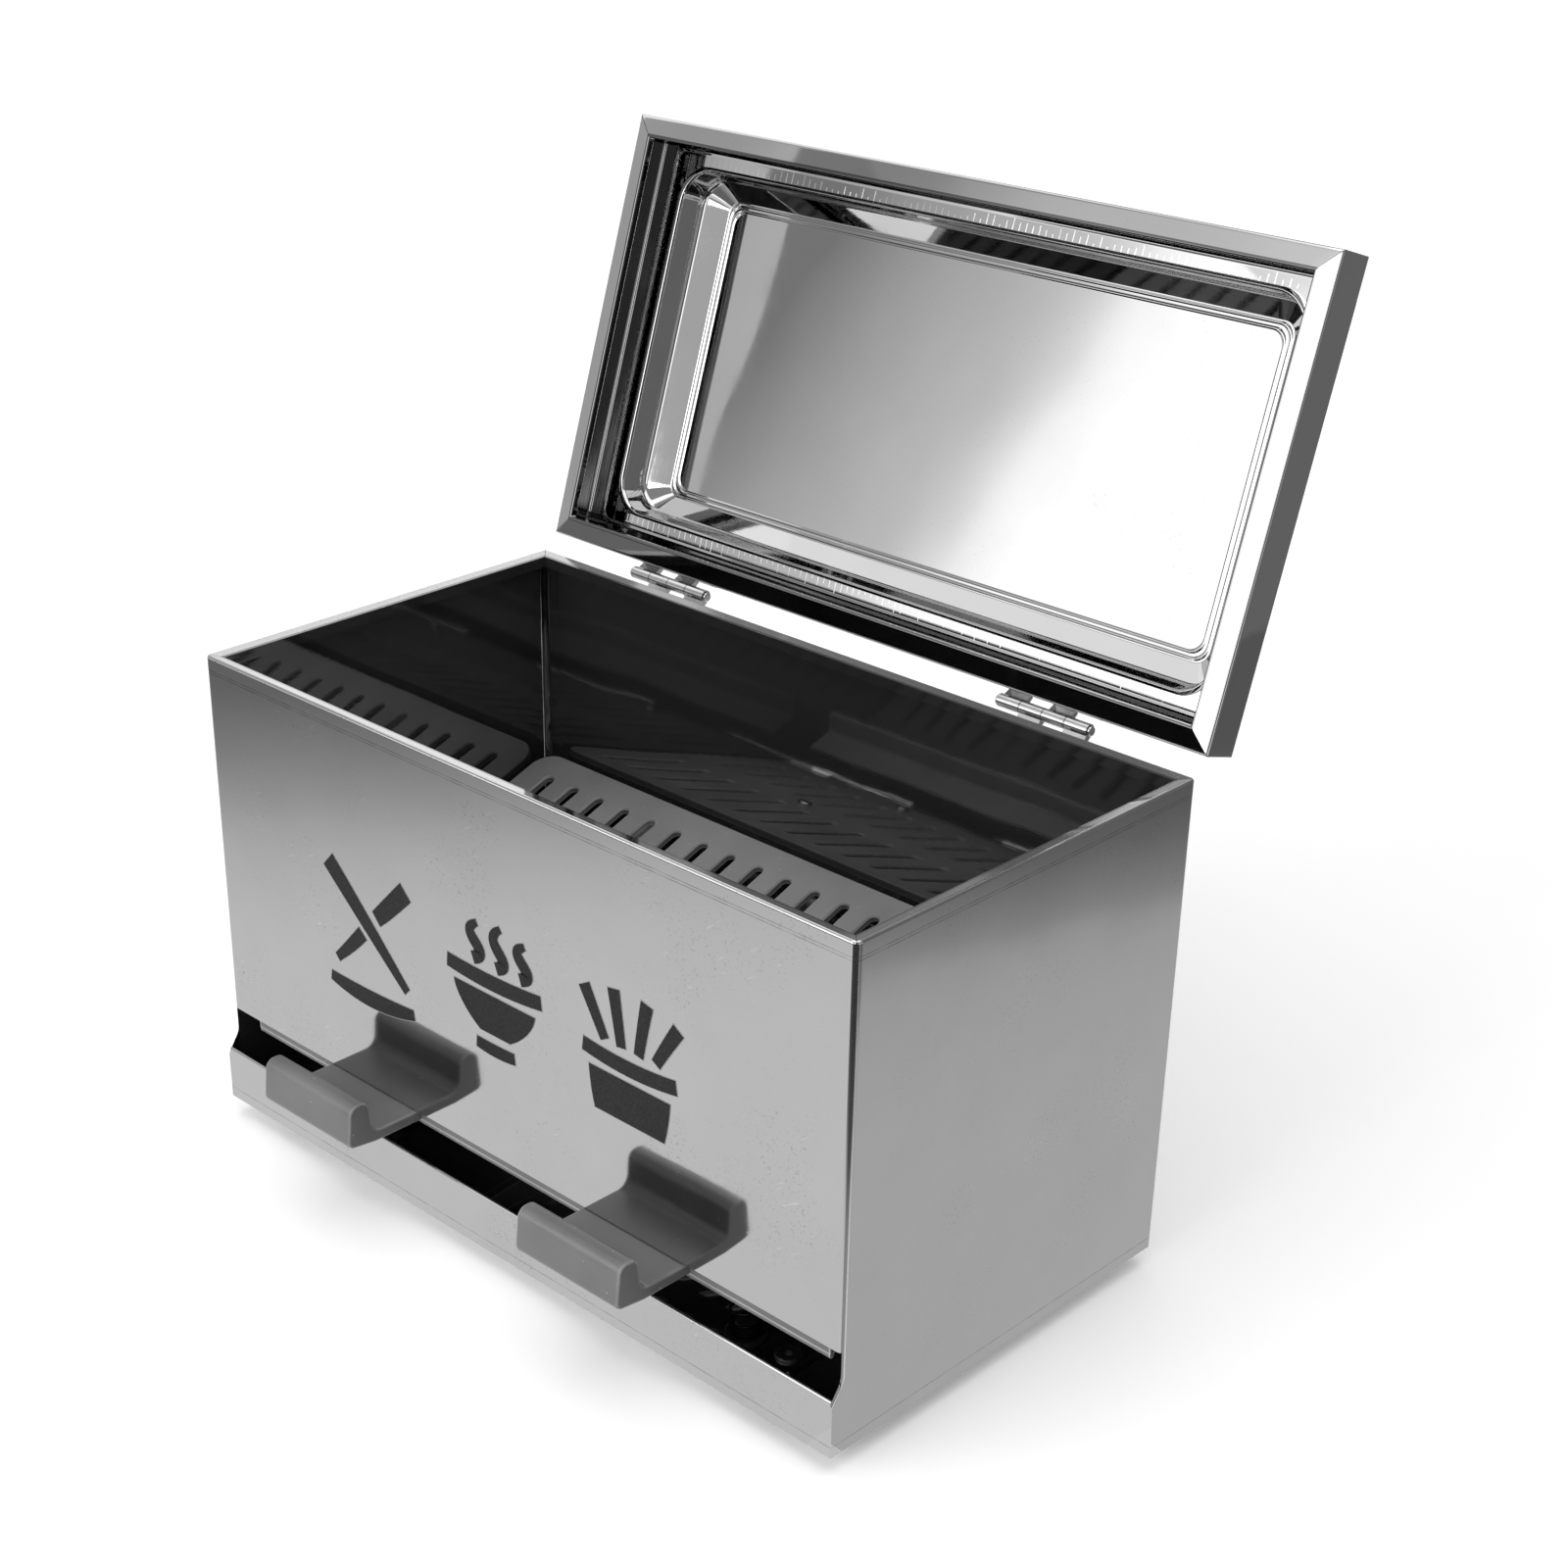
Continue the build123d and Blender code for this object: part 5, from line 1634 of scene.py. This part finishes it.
        self.card(
            "left_high",
            [(-401, -760, 600), (-401, 520, 600), (-401, 520, 1100), (-401, -760, 1100)],
            [(-760, 1.7), (-571, 1.1), (-466, 0.92), (-377, 0.88), (-302, 0.64), (-237, 0.42), (-60, 1.4)],
            (0.0, 1.0, 0.0),
        )
        self.card(
            "left_upper",
            [(-401, -90, 480), (-401, 520, 480), (-401, 520, 600), (-401, -90, 600)],
            [(0, 1.5)],
        )
        self.card(
            "far_left",
            [(-1000, -2600, 560), (-50, -2600, 560), (-50, -2600, 1500), (-1000, -2600, 1500)],
            [(600, 1.3), (780, 1.6), (1000, 1.75), (1300, 1.85)],
            (0.0, 0.0, 1.0),
        )
        self.card(
            "roof",
            [(-900, -1000, 900), (-900, 800, 900), (-900, 800, 2200), (-900, -1000, 2200)],
            [(0, 1.7)],
        )
        self.card(
            "front_right_window",
            [(120, -900, 60), (600, -900, 60), (600, -900, 800), (120, -900, 800)],
            [(120, 0.7), (300, 0.9), (400, 2.0), (600, 2.1)],
            (1.0, 0.0, 0.0),
        )
        self.card(
            "high_window",
            [(590, -898, 340), (820, -898, 340), (820, -898, 800), (590, -898, 800)],
            [(590, 2.1), (700, 1.6), (820, 0.5)],
            (1.0, 0.0, 0.0),
        )
        self.card(
            "camera_side_flag",
            [(600, -900, 20), (1600, -900, 20), (1600, -900, 900), (600, -900, 900)],
            [(0, 0.07)],
        )
        self.card(
            "right_flag",
            [(395, 60, 40), (395, 1100, 40), (395, 1100, 800), (395, 160, 800)],
            [(0.0, 0.22)],
        )

    def build(self) -> None:
        """Sets up the whole studio."""
        self.camera()
        self.floor()
        self.world()
        self.walls()
        self.lamp("front softbox", (-0.35, -1.75, 0.85), (0.0, 0.0, 0.12), (1.6, 1.1), 22.0)
        self.lamp("top softbox", (0.1, 0.0, 2.0), (0.0, 0.0, 0.1), (2.4, 2.4), 29.0)
        self.cards()
        bpy.context.scene.view_settings.view_transform = "Standard"


# ------------------------------------------------------------------ the scene
def main() -> None:
    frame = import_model()
    Studio().build()
    cabinet = CabinetSheet("mirror-buffed 304 stainless sheet", roughness=0.045, haze=0.06).build()
    plated = PlatedSteel("bright zinc-plated steel").build()
    # painted shade: the spring wire is coloured near black so the coils sink into the shade they stand in
    shade_dark_spring_wire = PlatedSteel("near-black spring wire, painted shade", "2C2C2C", "161616", 0.3).build()
    # painted shade: the rivets are coloured much darker than bare aluminium so they read dark in the slot's
    # shade
    rivet = PlatedSteel("aluminium rivets darkened as painted shade", "8C8C8C", "5A5A5A", 0.38).build()
    rubber = MouldedRubber("moulded black rubber").build()
    # each plastic's fourth colour is the pale painted edge highlight
    grey_abs = MouldedPlastic("grey moulded ABS", "5C5C5C", "686868", "B4B4B4").build()
    light_abs = MouldedPlastic("light grey moulded ABS", "787878", "838383", "A4A4A4").build()
    dark_abs = MouldedPlastic("black moulded ABS", "242424", "2E2E2E", "4A4A4A").build()
    dress(frame, ("body_shell", "base_tray"), cabinet)
    CornerBends().build(cabinet)
    LidPan().build(LidSheet("deep-drawn 304 stainless sheet", roughness=0.025, haze=0.05).build())
    FrontMarks().build()
    dress(frame, ("feed_ramp", "throat_deflector"), light_abs)
    dress(frame, ("dispensing_rocker",), grey_abs)
    RockerRib().build(grey_abs)
    dress(frame, ("spring_seats",), dark_abs)
    metal = (
        "left_box_leaf", "right_box_leaf", "left_lid_leaf", "right_lid_leaf", "left_hinge_pin",
        "right_hinge_pin", "left_ramp_support", "right_ramp_support", "ramp_screws", "rocker_shaft",
        "shaft_clips", "left_bearing_bracket", "right_bearing_bracket",
    )
    dress(frame, metal, plated)
    for node in ("left_return_spring", "right_return_spring"):
        ReturnSpring(node).build(shade_dark_spring_wire)
    dress(frame, ("floor_rivets",), rivet)
    dress(frame, ("front_left_foot", "front_right_foot", "rear_left_foot", "rear_right_foot"), rubber)


if __name__ == "__main__":
    logging.basicConfig(level=logging.INFO, format="%(name)s: %(message)s")
    main()
